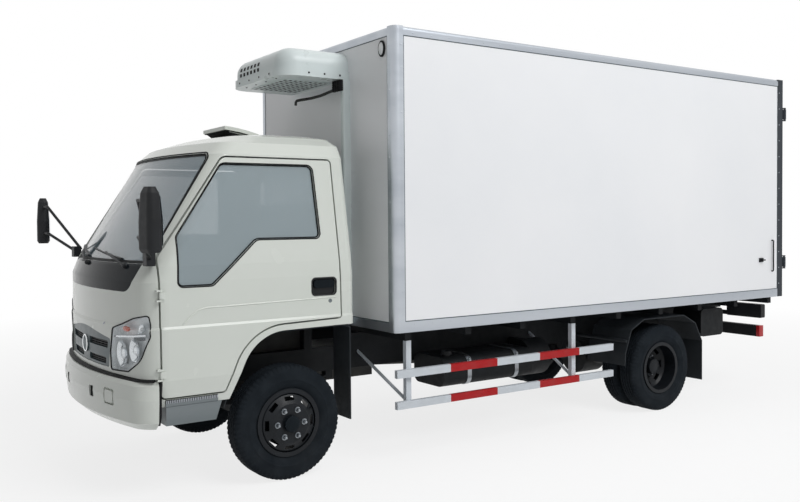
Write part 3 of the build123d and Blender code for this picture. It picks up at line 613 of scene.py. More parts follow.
# Cab trim along the outlines that the solids have: corners in metres with radii
WINDSCREEN = ((-0.735, 1.352, 0.04), (0.735, 1.352, 0.04), (0.695, 1.99, 0.045), (-0.695, 1.99, 0.045))
WINDOW = (
    (-0.705, 1.222, 0.03), (-0.698, 1.505, 0.05), (-0.408, 1.928, 0.045), (0.19, 1.93, 0.04),
    (0.212, 1.48, 0.03), (-0.215, 1.48, 0.06), (-0.5, 1.222, 0.035),
)
LAMP = (
    (0.44, 0.735, 0.018), (0.64, 0.745, 0.04), (0.765, 0.815, 0.11), (0.817, 0.955, 0.06),
    (0.799, 1.068, 0.012), (0.69, 1.047, 0.06), (0.472, 0.978, 0.025), (0.438, 0.84, 0.04),
)
# Station and height ranges of the handle's pocket and of its paddle
HANDLE_POCKET = (0.14, 0.306, 1.13, 1.232)
HANDLE_PADDLE = (0.152, 0.294, 1.172, 1.222)
DOOR_LOCK = (0.265, 1.09)
LOCK = ((-0.002, 0.013), (0.002, 0.012), (0.003, 0.009), (0.001, 0.003))
CREASE = (
    (-0.681, 1.01), (-0.64, 1.05), (-0.59, 1.088), (-0.54, 1.098), (-0.2, 1.103), (0.08, 1.108),
    (0.31, 1.112),
)
cab_skin = Skin("cab_front", "cab_roof")
screen_skin = Skin("cab_glass")
full_front = Skin("cab_front", "cowl_panel", "cab_roof", "cab_glass")

screen_edge = rounded(WINDSCREEN, 0.04)
Piece("windscreen_seal", SEAL_RUBBER).bead(*cab_skin.fronts(offset_loop(screen_edge, 0.006)), 0.011, 0.004)
border = Piece("windscreen_border", SEAL_RUBBER)
loops = [screen_skin.fronts(offset_loop(screen_edge, inset)) for inset in (-0.002, -0.017)]
border.band(*loops, 0.0015, 0.0012)

for side, sign in SIDES:
    body = f"cab_door_body_{side}"
    out = Vector((sign, 0, 0))
    glass_skin = Skin(f"door_glass_{side}")
    door_skin = Skin(f"cab_door_{side}")
    edge = rounded(WINDOW, 0.04)
    seal = Piece(f"window_seal_{side}", SEAL_RUBBER, body)
    seal.bead(*door_skin.sides(offset_loop(edge, 0.003), sign), 0.007, 0.0025)
    loops = [glass_skin.sides(offset_loop(edge, inset), sign) for inset in (-0.002, -0.009)]
    seal.band(*loops, 0.003, 0.0026)

    face_x = door_skin.side(0.33, 1.18, sign)[0].x
    pocket = rectangle(*HANDLE_POCKET, 0.022, 0.02)
    lining = Piece(f"handle_pocket_{side}", BLACK_PLASTIC, body)
    lining.plate([at(face_x - sign * 0.017, *point) for point in offset_loop(pocket, -0.0015)], out * 0.003)
    lining.bead([at(face_x, *point) for point in offset_loop(pocket, 0.002)], out, 0.01, 0.004)
    paddle = Piece(f"handle_{side}", GLOSS_BLACK, body)
    outline = rectangle(*HANDLE_PADDLE, 0.014, 0.03)
    paddle.plate([at(face_x - sign * 0.013, *point) for point in outline], out * 0.014, 0.003)
    lock = Piece(f"door_lock_{side}", STEP_METAL, body)
    lock.lathe(LOCK, door_skin.side(*DOOR_LOCK, sign)[0], out, 20)
    crease = Piece(f"door_crease_{side}", CAB_PAINT, body)
    crease.bead(*door_skin.sides(CREASE, sign), 0.01, 0.004, closed=False)

# Headlamps: lens, bright pan, reflectors, bulbs and dividers in place of the solid lens, with a painted
# shadow under each divider
LAMP_OUT = (0.3, -0.95)
FRONT_FACING = 0.35
# Each reflector's x, z, radius and the finish of its bulb
REFLECTORS = (
    (0.528, 0.834, 0.078, LAMP_SILVER), (0.668, 0.862, 0.068, LAMP_SILVER), (0.738, 0.996, 0.03, LAMP_WHITE),
)
# Sections of reflector and bulb: distance along the axis, share of the radius
BOWL = ((0, 1), (-0.004, 0.96), (-0.016, 0.72), (-0.024, 0.4), (-0.027, 0.12))
BULB = ((-0.024, 0.3), (-0.008, 0.34), (-0.001, 0.24), (0.001, 0.08))
TURN_LAMP = ((0.572, 0.985), (0.632, 0.99))
TURN_BULB = ((0, 0.004), (0.006, 0.012), (0.018, 0.015), (0.042, 0.015), (0.054, 0.012), (0.06, 0.004))
DIVIDER = ((0.476, 0.93), (0.56, 0.936), (0.68, 0.946), (0.79, 0.958))
# Painted shadow: a dark strip under the outer end of the divider, where its shade falls
DIVIDER_SHADOW = ((0.69, 0.932), (0.74, 0.936), (0.784, 0.938))
lamp_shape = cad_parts["headlamps"]
lamp_points = [lamp_shape.matrix_world @ vertex.co for vertex in lamp_shape.data.vertices]
lens = Piece("headlamp_lenses", LENS)
pan = Piece("headlamp_pans", LAMP_PAN)
for piece, wanted in ((lens, True), (pan, False)):
    made = {}
    for face in lamp_shape.data.polygons:
        sign = 1 if lamp_points[face.vertices[0]].x > 0 else -1
        is_front = face.normal.dot(Vector((LAMP_OUT[0] * sign, LAMP_OUT[1], 0))) > FRONT_FACING
        if is_front == wanted:
            for index in face.vertices:
                if index not in made:
                    made[index] = piece.mesh.verts.new(lamp_points[index])
            piece.mesh.faces.new([made[index] for index in face.vertices])
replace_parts(lens.done(), "headlamps")
lamp_skin = Skin("headlamps")
bowls = Piece("headlamp_reflectors", LAMP_SILVER, smooth=12)
divider_shadows = Piece("headlamp_painted_shadows", LAMP_SHADOW_PAINT)
turn_lamps = Piece("turn_lamps", LAMP_AMBER)
dividers = Piece("headlamp_dividers", LAMP_SILVER)
frames = Piece("headlamp_frames", SEAL_RUBBER)
bulbs = {bulb.name: Piece(f"headlamp_bulbs_{bulb.name}", bulb) for bulb in (LAMP_SILVER, LAMP_WHITE)}
lamp_edge = offset_loop(rounded(LAMP, 0.03), 0.001)
for sign in SIGNS:
    for x, z, radius, colour in REFLECTORS:
        place, normal = lamp_skin.front(sign * x, z)
        axis = (normal + Vector((0, -1.2, 0))).normalized()
        rim = place - axis * 0.02
        bowls.lathe([(along, radius * share) for along, share in BOWL], rim, axis, 14, caps=False)
        bulbs[colour.name].lathe([(along, radius * share) for along, share in BULB], rim, axis, 16)
    ends = [place - normal * 0.018 for place, normal in zip(*lamp_skin.fronts(TURN_LAMP, sign))]
    turn_lamps.lathe(TURN_BULB, ends[0], ends[1] - ends[0], 16)
    dividers.bead(*lamp_skin.fronts(DIVIDER, sign), 0.012, 0.005, closed=False, sink=0.01)
    # Painted shadow under the outer end of the divider
    divider_shadows.bead(*lamp_skin.fronts(DIVIDER_SHADOW, sign), 0.018, 0.004, closed=False, sink=0.012)
    frames.bead(*cab_skin.fronts(lamp_edge, sign), 0.008, 0.005)

# Grille: dark louvres in the slots and a bright plain ring round the boss
# Low x, high x, low z, high z
GRILLE_SLOTS = ((0.072, 0.38, 0.854, 0.892), (0.072, 0.348, 0.758, 0.792))
LOUVRES = 3
LOUVRE = ((-0.014, -0.003), (-0.014, 0.001), (0.0, 0.005), (0.001, -0.005))
BOSS_Z = 0.842
RING = ((0.0, 0.046), (0.0, 0.054), (0.005, 0.054), (0.008, 0.05), (0.005, 0.046))
grille_skin = Skin("grille")
louvres = Piece("grille_louvres", BLACK_PLASTIC)
backing = Piece("grille_backing", SEAL_RUBBER)
for low_x, high_x, low_z, high_z in GRILLE_SLOTS:
    for sign in SIGNS:
        for part in range(LOUVRES):
            z = low_z + (high_z - low_z) * (part + 0.5) / LOUVRES
            places, _ = grille_skin.fronts(between((low_x, z), (high_x, z), 6), sign)
            louvres.rings([[place + Vector((0, dy, dz)) for dy, dz in LOUVRE] for place in places])
        z = (low_z + high_z) / 2
        places, _ = grille_skin.fronts(between((low_x, z), (high_x, z), 6), sign)
        section = ((-0.002, low_z), (-0.002, high_z), (0.002, high_z), (0.002, low_z))
        backing.rings([[Vector((place.x, place.y + dy, edge)) for dy, edge in section] for place in places])
Piece("grille_ring", CHROME).lathe(RING, grille_skin.front(0.0, BOSS_Z)[0], -BACK, 40, closed=True)

# Black strip between bumper and cab, from one door to the other
STRIP_Z = (0.7025, 0.7075, 0.7155)
STRIP_LEVEL = 0.725
STRIP_REACH = 62
STRIP_STEPS = 60
whole_front = Skin("cab_front", "grille", "headlamps")
strip = Piece("bumper_strip", SEAL_RUBBER)
rings = []
for step in range(STRIP_STEPS + 1):
    turn = math.radians(STRIP_REACH * (2 * step / STRIP_STEPS - 1))
    outward = Vector((math.sin(turn), -math.cos(turn), 0))
    place, normal = whole_front.hit(at(0, -0.4, STRIP_LEVEL) + outward * 3.0, -outward)
    level = Vector((normal.x, normal.y, 0)).normalized()
    outer_edge = (place + level * 0.024).xy
    inner_edge = (place - level * 0.004).xy
    rings.append([Vector((*edge, z)) for edge, z in ((outer_edge, STRIP_Z[0]), (outer_edge, STRIP_Z[1]),
                                                     (inner_edge, STRIP_Z[2]), (inner_edge, STRIP_Z[0]))])
strip.rings(rings)

# Bumper: tow pins with dark plates as painted shade in the tow-eye recesses, blanks in the lamp recesses and
# dark strips as painted shade of the gaps at its ends; lock of the front lid
TOW_EYE = (0.275, 0.5925)
TOW_SHADE_HALF = Vector((0.0295, 0, 0.032))
BLANK = (0.462, 0.553, 0.557, 0.628)
BUMPER_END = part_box("front_bumper")[1][1]
END_SHADE_LEVELS = (0.452, 0.5, 0.56, 0.62, 0.68, 0.699)
# Section of an end strip of painted shade: distance in from the bumper's side, distance behind its end
END_SHADE_SECTION = ((0.034, 0.0005), (0.034, 0.016), (0.003, 0.016), (0.003, 0.0005))
LID_LOCK_AT = (0.347, 0.996)
LID_LOCK = ((-0.002, 0.009), (0.002, 0.0085), (0.003, 0.006), (0.001, 0.002))
bumper_skin = Skin("front_bumper")
tow_pins_and_shade = Piece("tow_pins_and_shade_plates", SEAL_RUBBER)
blanks = Piece("bumper_blanks", CAB_PAINT)
end_gap_shades = Piece("bumper_end_painted_shade", SEAL_RUBBER)
for sign in SIGNS:
    x = sign * TOW_EYE[0]
    z = TOW_EYE[1]
    face = sum(bumper_skin.front(x + reach, z)[0].y for reach in (-0.045, 0.045)) / 2
    # A black plate just inside the tow-eye recess stands in for the recess's shade: painted shade
    tow_pins_and_shade.box(Vector((x, face + 0.006, z)) - TOW_SHADE_HALF, Vector((x, face + 0.014, z)) + TOW_SHADE_HALF, 0.002)
    tow_pins_and_shade.tube([(x, face + 0.004, z - 0.031), (x, face + 0.004, z + 0.031)], 0.005)
    places, _ = bumper_skin.fronts(rectangle(*BLANK, 0.012, 0.05), sign)
    blanks.plate([place + BACK * 0.001 for place in places], BACK * -0.017, 0.004)
    rings = []
    # Dark strips behind the bumper's ends stand in for the shaded gap before the steps: painted shade
    for z in END_SHADE_LEVELS:
        end_x = bumper_skin.hit((3.0 * sign, BUMPER_END - 0.004, z), (-sign, 0, 0))[0].x
        rings.append([Vector((end_x - sign * inset, BUMPER_END + behind, z))
                      for inset, behind in END_SHADE_SECTION])
    end_gap_shades.rings(rings)
Piece("front_lid_lock", STEEL).lathe(LID_LOCK, *whole_front.front(*LID_LOCK_AT), 16)

# Wipers on the windscreen
# Pivot, end of the arm and ends of the blade: x, z
WIPERS = (
    ((0.545, 1.338), (0.205, 1.402), ((0.46, 1.372), (-0.06, 1.42))),
    ((-0.06, 1.338), (-0.4, 1.402), ((-0.14, 1.375), (-0.655, 1.425))),
)
PIVOT = ((-0.004, 0.017), (0.014, 0.016), (0.02, 0.01))
ARM_STEPS = 6
wipers = Piece("wipers", BLACK_PLASTIC)
for pivot, arm_end, blade in WIPERS:
    wipers.lathe(PIVOT, *full_front.front(*pivot), 16)
    arm = []
    for step, (place, normal) in enumerate(zip(*full_front.fronts(between(pivot, arm_end, ARM_STEPS)))):
        arm.append(place + normal * (0.016 + 0.014 * math.sin(math.pi * step / ARM_STEPS)))
    wipers.tube(arm, 0.006, 8)
    wipers.bead(*full_front.fronts(between(*blade, 8)), 0.013, 0.016, closed=False, sink=-0.001)

# Mirror glass on the rear faces of the pods: level, width, distance behind the pod's middle
MIRROR_AT = Vector((1.235, -0.985))
MIRROR_TURN = Matrix.Rotation(math.radians(15), 2)
MIRROR_LEVELS = (
    (1.468, 0.078, 0.0424), (1.48, 0.094, 0.0424), (1.6, 0.094, 0.0424), (1.715, 0.076, 0.0354),
    (1.727, 0.062, 0.0346),
)
MIRROR_THICK = 0.002
for side, sign in SIDES:
    glass = Piece(f"mirror_glass_{side}", MIRROR)
    rings = []
    for z, width, behind in MIRROR_LEVELS:
        corners = [(-width / 2, behind), (width / 2, behind), (width / 2, behind + MIRROR_THICK),
                   (-width / 2, behind + MIRROR_THICK)]
        places = [MIRROR_AT + MIRROR_TURN @ Vector(corner) for corner in corners]
        rings.append([at(sign * place.x, place.y, z) for place in places])
    glass.rings(rings)

# Dark lining of the roof vent: under the lid, along a curve through three points, and round its neck
LID_POINTS = ((-0.145, 2.189), (-0.03, 2.174), (0.1, 2.142))
LID_STATIONS = (-0.138, 0.094)
LID_HALF = 0.182
NECK = ((-0.128, 2.182), (-0.004, 2.1), (0.084, 2.1), (0.093, 2.14))
NECK_HALF = 0.167
lining = Piece("vent_lining", SEAL_RUBBER)
rings = []
for station, _ in between((LID_STATIONS[0], 0), (LID_STATIONS[1], 0), 8):
    z = 0.0
    for here, height in LID_POINTS:
        others = [other for other, _ in LID_POINTS if other != here]
        z += height * math.prod((station - other) / (here - other) for other in others)
    rings.append([at(x, station, z - drop)
                  for x, drop in ((-LID_HALF, 0), (LID_HALF, 0), (LID_HALF, 0.004), (-LID_HALF, 0.004))])
lining.rings(rings)
lining.plate([at(-NECK_HALF, station, z) for station, z in NECK], (2 * NECK_HALF, 0, 0), 0.002)

# Plates over the sills above the steps, with a ribbed edge on a dark ground
SILL_STATIONS = (-0.782, -0.474)
SILL_Z = (0.556, 0.595)
RIB_Z = (0.575, 0.592)
SILL_RIBS = 30
# Section of a rib: share of the pitch, height
RIB_SECTION = ((0, 0.002), (0.1, 0.007), (0.5, 0.007), (0.6, 0.002))
rear_skin = Skin("cab_rear_shell")


def sill_ring(sign, station, heights, faces, out):
    """A section across the sill's plate: inner and outer edges at two heights."""
    (low_z, high_z), (low_x, high_x) = heights, faces
    return [at(sign * x, station, z) for x, z in ((low_x - 0.002, low_z), (low_x + out, low_z),
                                                  (high_x + out, high_z), (high_x - 0.002, high_z))]


sill_plates = Piece("sill_plates", STEP_METAL)
sill_ground = Piece("sill_ground", SEAL_RUBBER)
sill_ribs = Piece("sill_ribs", RAIL_METAL)
pitch = (SILL_STATIONS[1] - SILL_STATIONS[0]) / SILL_RIBS
for sign in SIGNS:
    low_x = sign * rear_skin.side(-0.62, SILL_Z[0] + 0.004, sign)[0].x
    high_x = sign * rear_skin.side(-0.62, SILL_Z[1] - 0.004, sign)[0].x
    slope = (high_x - low_x) / (SILL_Z[1] - SILL_Z[0])
    rib_x = [low_x + slope * (z - SILL_Z[0]) for z in RIB_Z]
    for piece, heights, faces, out in (
        (sill_plates, (SILL_Z[0], RIB_Z[0]), (low_x, rib_x[0]), 0.006),
        (sill_ground, (RIB_Z[0], SILL_Z[1]), (rib_x[0], high_x), 0.002),
    ):
        piece.rings([sill_ring(sign, station, heights, faces, out) for station in SILL_STATIONS])
    for rib in range(SILL_RIBS):
        start = SILL_STATIONS[0] + pitch * (rib + 0.25)
        sill_ribs.rings([sill_ring(sign, start + pitch * share, RIB_Z, rib_x, out)
                         for share, out in RIB_SECTION])

# Insulated box: sealant lines and rivets
BOX_X = 0.98
PANEL_X = 0.977
BOX_STATIONS = (0.66, 4.894)
BOX_Z = (0.865, 2.82)
POST_WIDTH = 0.075
SIDE_RAIL, FRONT_RAIL, TOP_RAIL = 0.07, 0.06, 0.058
FRONT_FACE = 0.663
RIVET_R = 0.0055
RAIL_RIVETS = 28
RAIL_PITCH = 0.146
POST_RIVETS = 13
POST_PITCH = 0.143
SEALANT = (0.007, 0.002)
panel_top = BOX_Z[1] - TOP_RAIL
side_panel = rectangle(BOX_STATIONS[0] + POST_WIDTH, BOX_STATIONS[1] - POST_WIDTH,
                       BOX_Z[0] + SIDE_RAIL, panel_top, 0.006, 0.5)
front_panel = rectangle(POST_WIDTH - BOX_X, BOX_X - POST_WIDTH, BOX_Z[0] + FRONT_RAIL, panel_top, 0.006, 0.5)
sealant = Piece("box_sealant", GRILLE_GREY)
rivets = Piece("box_rivets", RAIL_METAL)
for sign in SIGNS:
    out = Vector((sign, 0, 0))
    sealant.bead([at(sign * PANEL_X, *point) for point in offset_loop(side_panel, -0.003)], out, *SEALANT)
    for z in (BOX_Z[0] + 0.05, BOX_Z[1] - 0.04):
        for index in range(RAIL_RIVETS):
            station = BOX_STATIONS[0] + 0.15 + index * RAIL_PITCH
            rivets.rivet(at(sign * BOX_X, station, z), out, RIVET_R)
    for index in range(POST_RIVETS):
        z = BOX_Z[0] + 0.12 + index * POST_PITCH
        rivets.rivet(at(sign * (BOX_X - 0.055), BOX_STATIONS[0], z), -BACK, RIVET_R)
        for station in (BOX_STATIONS[0] + 0.057, BOX_STATIONS[1] - 0.055):
            rivets.rivet(at(sign * BOX_X, station, z), out, RIVET_R)
front_line = [at(point.x, FRONT_FACE, point.y) for point in offset_loop(front_panel, -0.003)]
sealant.bead(front_line, -BACK, *SEALANT)

# Marker lamps on the front wall: sections as share of the size and height
MARKER = (0.847, 2.688)
MARKER_SIZE = (0.034, 0.052)
MARKER_SECTIONS = (
    ("marker_rims", SEAL_RUBBER, ((1.00, -0.001), (1.02, 0.01), (0.92, 0.014), (0.8, 0.013), (0.78, 0.004))),
    ("marker_lenses", LAMP_WHITE, ((0.79, 0.003), (0.78, 0.012), (0.6, 0.018), (0.3, 0.021), (0.05, 0.022))),
)
for name, material, section in MARKER_SECTIONS:
    markers = Piece(name, material)
    for sign in SIGNS:
        rings = []
        for share, out in section:
            centre = at(sign * MARKER[0], FRONT_FACE - out, MARKER[1])
            width = Vector((MARKER_SIZE[0], 0, 0))
            rings.append(circle(centre, width, UP * MARKER_SIZE[1], share, 32))
        markers.rings(rings)

# Hold-backs for the open rear doors: a catch and a rail on each side wall
CATCH = ((0.978, 4.54, 1.185), (0.986, 4.6, 1.222))
HOLD_BACK_BARS = (
    ((0.984, 4.57, 1.204), (0.998, 4.57, 1.204), (1.004, 4.578, 1.204), (1.004, 4.595, 1.204)),
    ((0.976, 4.736, 1.375), (0.99, 4.736, 1.375), (0.994, 4.736, 1.37), (0.994, 4.736, 1.105),
     (0.99, 4.736, 1.1), (0.976, 4.736, 1.1)),
)
hold_backs = Piece("door_hold_backs", FRAME_BLACK)
for sign in SIGNS:
    hold_backs.box(*[at(sign * x, station, z) for x, station, z in CATCH], 0.002)
    for bar in HOLD_BACK_BARS:
        hold_backs.tube([at(sign * x, station, z) for x, station, z in bar], 0.006)

# Rear doors: rubber gaskets, hinge bolts, keepers and handle grips
REAR_FACE = 4.9
DOOR_EDGES = (0.018, 0.891, 0.979, 2.726)
HINGE_HEIGHTS = (1.175, 2.513)
HINGE_BOLTS_X = (0.69, 0.77, 0.85)
GRIP_X = (0.33, 0.34, 0.435, 0.445)
GRIP_AT = (4.924, 1.515)
KEEPER_X = 0.11
KEEPER_STATION = 4.892
KEEPER_HEIGHTS = (0.925, 2.785)
KEEPER_SIZE = Vector((0.09, 0.014, 0.036))
keepers = Piece("door_keepers", STEEL)
for side, sign in SIDES:
    body = f"box_door_body_{side}"
    gasket = Piece(f"door_gasket_{side}", SEAL_RUBBER, body)
    outline = rectangle(*DOOR_EDGES, 0.012, 0.5)
    gasket.bead([at(sign * point.x, REAR_FACE, point.y) for point in outline], BACK, 0.015, 0.004)
    bolts = Piece(f"hinge_bolts_{side}", STEEL, body)
    for z in HINGE_HEIGHTS:
        for x in HINGE_BOLTS_X:
            bolts.bolt(at(sign * x, REAR_FACE + 0.008, z), BACK, 0.007, 0.008)
    grip = Piece(f"door_grip_{side}", BLACK_PLASTIC, body)
    grip.tube([at(sign * x, *GRIP_AT) for x in GRIP_X], 0.019, 12)
    for z in KEEPER_HEIGHTS:
        low_corner = at(sign * KEEPER_X - KEEPER_SIZE.x / 2, KEEPER_STATION, z - KEEPER_SIZE.z / 2)
        keepers.box(low_corner, low_corner + KEEPER_SIZE, 0.003)
        for shift in (-0.03, 0.03):
            keepers.bolt(at(sign * KEEPER_X + shift, KEEPER_STATION + KEEPER_SIZE.y, z), BACK, 0.005, 0.006)

# Ribbed floor of the load space
FLOOR_RIBS = 16
FLOOR_PITCH = 0.116
FLOOR_RIB_SIZE = Vector((0.024, 4.07, 0.006))
floor_ribs = Piece("load_floor_ribs", RAIL_METAL)
for index in range(FLOOR_RIBS):
    low_corner = at(-0.882 + index * FLOOR_PITCH, 0.74, 0.963)
    floor_ribs.box(low_corner, low_corner + FLOOR_RIB_SIZE, 0.002)

# Tail lamps and the red ends of the underrun bar
# Range of x and finish
TAIL_LENSES = (((0.66, 0.822), LAMP_RED), ((0.572, 0.652), LAMP_AMBER), ((0.48, 0.564), LAMP_WHITE))
TAIL_Z = (0.666, 0.769)
TAIL_FACE = 4.861
BAR_END = ((0.788, 4.7888, 0.4828), (0.8212, 4.8512, 0.5852))
for number, (x_range, colour) in enumerate(TAIL_LENSES):
    lenses = Piece(f"tail_lenses_{number}", colour)
    for sign in SIGNS:
        outline = rectangle(*x_range, *TAIL_Z, 0.01, 0.2)
        lenses.plate([at(sign * point.x, TAIL_FACE, point.y) for point in outline], BACK * 0.009, 0.003)
bar_ends = Piece("underrun_red_ends", GUARD_RED)
for sign in SIGNS:
    bar_ends.box(*[at(sign * x, station, z) for x, station, z in BAR_END], 0.002)

# Fuel tank straps and cap
TANK = (0.385, 0.745, 0.415, 0.622)
TANK_STRAPS = (1.443, 1.886)
STRAP_HALF = 0.018
TANK_CAP_AT = (0.66, 1.3, 0.622)
TANK_CAP = ((-0.01, 0.03), (0.01, 0.03), (0.012, 0.042), (0.034, 0.042), (0.04, 0.036), (0.041, 0.01))
straps = Piece("tank_straps", STEEL)
tank_outline = rectangle(*TANK, 0.06, 0.1)
for station in TANK_STRAPS:
    loops = zip(offset_loop(tank_outline, 0.0004), offset_loop(tank_outline, 0.0045))
    straps.rings([[at(a.x, station - STRAP_HALF, a.y), at(a.x, station + STRAP_HALF, a.y),
                   at(b.x, station + STRAP_HALF, b.y), at(b.x, station - STRAP_HALF, b.y)] for a, b in loops],
                 closed=True)
    straps.bolt(at(0.747, station, 0.598), (1, 0, 0), 0.008, 0.012)
cap = Piece("tank_cap", BLACK_PLASTIC)
cap.lathe(TANK_CAP, at(*TANK_CAP_AT), UP, 24)

# Cooling unit: vents, mesh under the base, screws, hose gland and drain pipe
VENT_ROWS = (2.626, 2.664)
VENT_COLUMNS = 6
FIRST_VENT_X = -0.246
VENT_PITCH = 0.0576
VENT = rectangle(-0.015, 0.015, -0.012, 0.012, 0.004, 0.1)
MESH_X = (-0.27, 0.25)
MESH_STATIONS = (0.262, 0.61)
BASE_UNDER = 2.545
SCREWS_X = (-0.24, -0.08, 0.08, 0.24)
SCREW_STATIONS = (0.353, 0.471, 0.59)
SCREW_Z = 2.57
SCREW_R = 0.008
HOSES_X = (0.345, 0.376, 0.407, 0.438)
HOSE_STATION = 0.59
HOSE_RADII = (0.0125, 0.0155)
DRAIN = (
    (0.395, 0.622, 2.5), (0.33, 0.615, 2.49), (0.27, 0.6, 2.48), (0.18, 0.575, 2.462),
    (0.09, 0.55, 2.453), (-0.01, 0.515, 2.45), (-0.04, 0.503, 2.447), (-0.05, 0.5, 2.438),
    (-0.051, 0.499, 2.415),
)
unit_skin = Skin("cooling_unit")
vents = Piece("unit_vents", SEAL_RUBBER)
for z in VENT_ROWS:
    for column in range(VENT_COLUMNS):
        centre = Vector((FIRST_VENT_X + VENT_PITCH * column, z))
        hits = unit_skin.fronts([centre + point for point in VENT])
        vents.plate([place + normal * 0.0012 for place, normal in zip(*hits)], BACK * 0.004)
mesh_back = Piece("unit_mesh_dark", SEAL_RUBBER)
mesh_back.box(at(MESH_X[0], MESH_STATIONS[0], BASE_UNDER - 0.0015),
              at(MESH_X[1], MESH_STATIONS[1], BASE_UNDER + 0.001), 0.0005)
bars = Piece("unit_mesh_bars", UNIT_WHITE)
for x, station in between((MESH_X[0], MESH_STATIONS[0]), (MESH_X[0], MESH_STATIONS[1]), 9):
    bars.box(at(x - 0.006, station - 0.004, BASE_UNDER - 0.006),
             at(MESH_X[1] + 0.006, station + 0.004, BASE_UNDER), 0.001)
for x, station in between((MESH_X[0], MESH_STATIONS[0]), (MESH_X[1], MESH_STATIONS[0]), 8):
    bars.box(at(x - 0.004, station, BASE_UNDER - 0.0055), at(x + 0.004, MESH_STATIONS[1], BASE_UNDER), 0.001)
screws = Piece("unit_screws", FRAME_BLACK)
for sign in SIGNS:
    for station in SCREW_STATIONS:
        screws.rivet(at(sign * 0.428, station, SCREW_Z), (sign, 0, 0), SCREW_R)
for x in SCREWS_X:
    screws.rivet(at(x, 0.152, SCREW_Z), -BACK, SCREW_R)
    screws.rivet(at(x, 0.205, BASE_UNDER), -UP, SCREW_R)
hoses = Piece("unit_hoses", SEAL_RUBBER)
for x in HOSES_X:
    profile = [(-0.078 + ring * 0.0066, HOSE_RADII[ring % 2]) for ring in range(12)]
    hoses.lathe(profile, at(x, HOSE_STATION, BASE_UNDER), UP, 14)
Piece("unit_drain_pipe", CAST_METAL).tube([at(*point) for point in DRAIN], 0.01, 12)

# Seats: cushions swollen by cloth simulation on a plain plinth
SWELL_CAP = 0.022
SWELL_FRAMES = 20
SWELL_PRESSURE = 4.0
VOXEL = 0.012
SEAM_DEPTH = 0.009
SEAM_WIDTH = 0.011
SWELL_ROOM = 0.018
# Name and range of x
SEATS = (("driver", (0.15, 0.68)), ("double", (-0.68, 0.12)))
# Side outlines of the pads before they swell: station, height and corner radius
PADS = {
    "cushion": ((-0.214, 1.022, 0.03), (-0.214, 1.118, 0.04), (0.172, 1.092, 0.03), (0.172, 1.022, 0.03)),
    "back": ((0.222, 1.118, 0.03), (0.306, 1.724, 0.03), (0.35, 1.724, 0.02), (0.314, 1.118, 0.03)),
}
# Sewn channels: stations across the cushion, heights across the back
PAD_SEAMS = {"cushion": ("y", (-0.09, 0.05)), "back": ("z", (1.3, 1.45, 1.6))}


def evaluated(shape):
    """A copy of a shape's mesh with its modifiers."""
    bpy.context.view_layer.update()
    return bpy.data.meshes.new_from_object(shape.evaluated_get(bpy.context.evaluated_depsgraph_get()))


def with_modifier(shape, kind, **settings):
    """The shape's mesh after one modifier, which is taken off again."""
    modifier = shape.modifiers.new(kind, kind)
    for setting, value in settings.items():
        setattr(modifier, setting, value)
    data = evaluated(shape)
    shape.modifiers.remove(modifier)
    return data


def swell(shape):
    """Blows the pad up by cloth pressure, no point moving farther than the cap."""
    start = [vertex.co.copy() for vertex in shape.data.vertices]
    modifier = shape.modifiers.new("cloth", "CLOTH")
    modifier.settings.use_pressure = True
    modifier.settings.uniform_pressure_force = SWELL_PRESSURE
    modifier.settings.effector_weights.gravity = 0.0
    for number in range(1, SWELL_FRAMES + 1):
        bpy.context.scene.frame_set(number)
    data = evaluated(shape)
    shape.modifiers.remove(modifier)
    bpy.context.scene.frame_set(1)
    for vertex, before in zip(data.vertices, start):
        move = vertex.co - before
        if move.length > SWELL_CAP:
            vertex.co = before + move.normalized() * SWELL_CAP
    shape.data = data


def sew(shape, axis, places):
    """Draws the pad in along its sewn channels."""
    index = "xyz".index(axis)
    offset = AXLE_Y if axis == "y" else 0.0
    normals = [vertex.normal.copy() for vertex in shape.data.vertices]
    for vertex, normal in zip(shape.data.vertices, normals):
        depth = sum(math.exp(-((vertex.co[index] - offset - place) / SEAM_WIDTH) ** 2) for place in places)
        vertex.co -= normal * (SEAM_DEPTH * min(depth, 1.0))


plinths = Piece("seat_plinths", BLACK_PLASTIC)
for seat, (low_x, high_x) in SEATS:
    for pad, corners in PADS.items():
        form = Piece(f"{seat}_{pad}", SEAT_CLOTH)
        width = high_x - low_x - 2 * SWELL_ROOM
        form.plate([at(low_x + SWELL_ROOM, *point) for point in rounded(corners, 0.05)], (width, 0, 0), 0.012)
        shape = form.done()
        shape.data = with_modifier(shape, "REMESH", mode="VOXEL", voxel_size=VOXEL)
        swell(shape)
        sew(shape, *PAD_SEAMS[pad])
        shape.data = with_modifier(shape, "SUBSURF", levels=1, render_levels=1)
        shape.data.polygons.foreach_set("use_smooth", [True] * len(shape.data.polygons))
        shape.data.materials.clear()
        shape.data.materials.append(SEAT_CLOTH)
        if (seat, pad) == ("driver", "cushion"):
            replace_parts(shape, "seats")
    plinths.box(at(low_x + 0.04, -0.19, 0.99), at(high_x - 0.04, 0.3, 1.012), 0.005)

# Instrument hood on the dashboard
HOOD_X = (0.21, 0.59)
HOOD_RISE = 0.045
HOOD_STEPS = 8
hood = Piece("instrument_hood", BLACK_PLASTIC)
rings = []
for step in range(HOOD_STEPS + 1):
    share = step / HOOD_STEPS
    x = HOOD_X[0] + (HOOD_X[1] - HOOD_X[0]) * share
    rise = HOOD_RISE * math.sin(math.pi * min(max(share, 0.04), 0.96)) ** 0.5
    rings.append([at(x, -0.8, 1.318), at(x, -0.79, 1.322 + rise), at(x, -0.668, 1.312 + rise),
                  at(x, -0.655, 1.29)])
hood.rings(rings)

for piece in Piece.waiting[:]:
    piece.done()

# Floor, backdrop light and camera
FLOOR_WHITE = 0.8


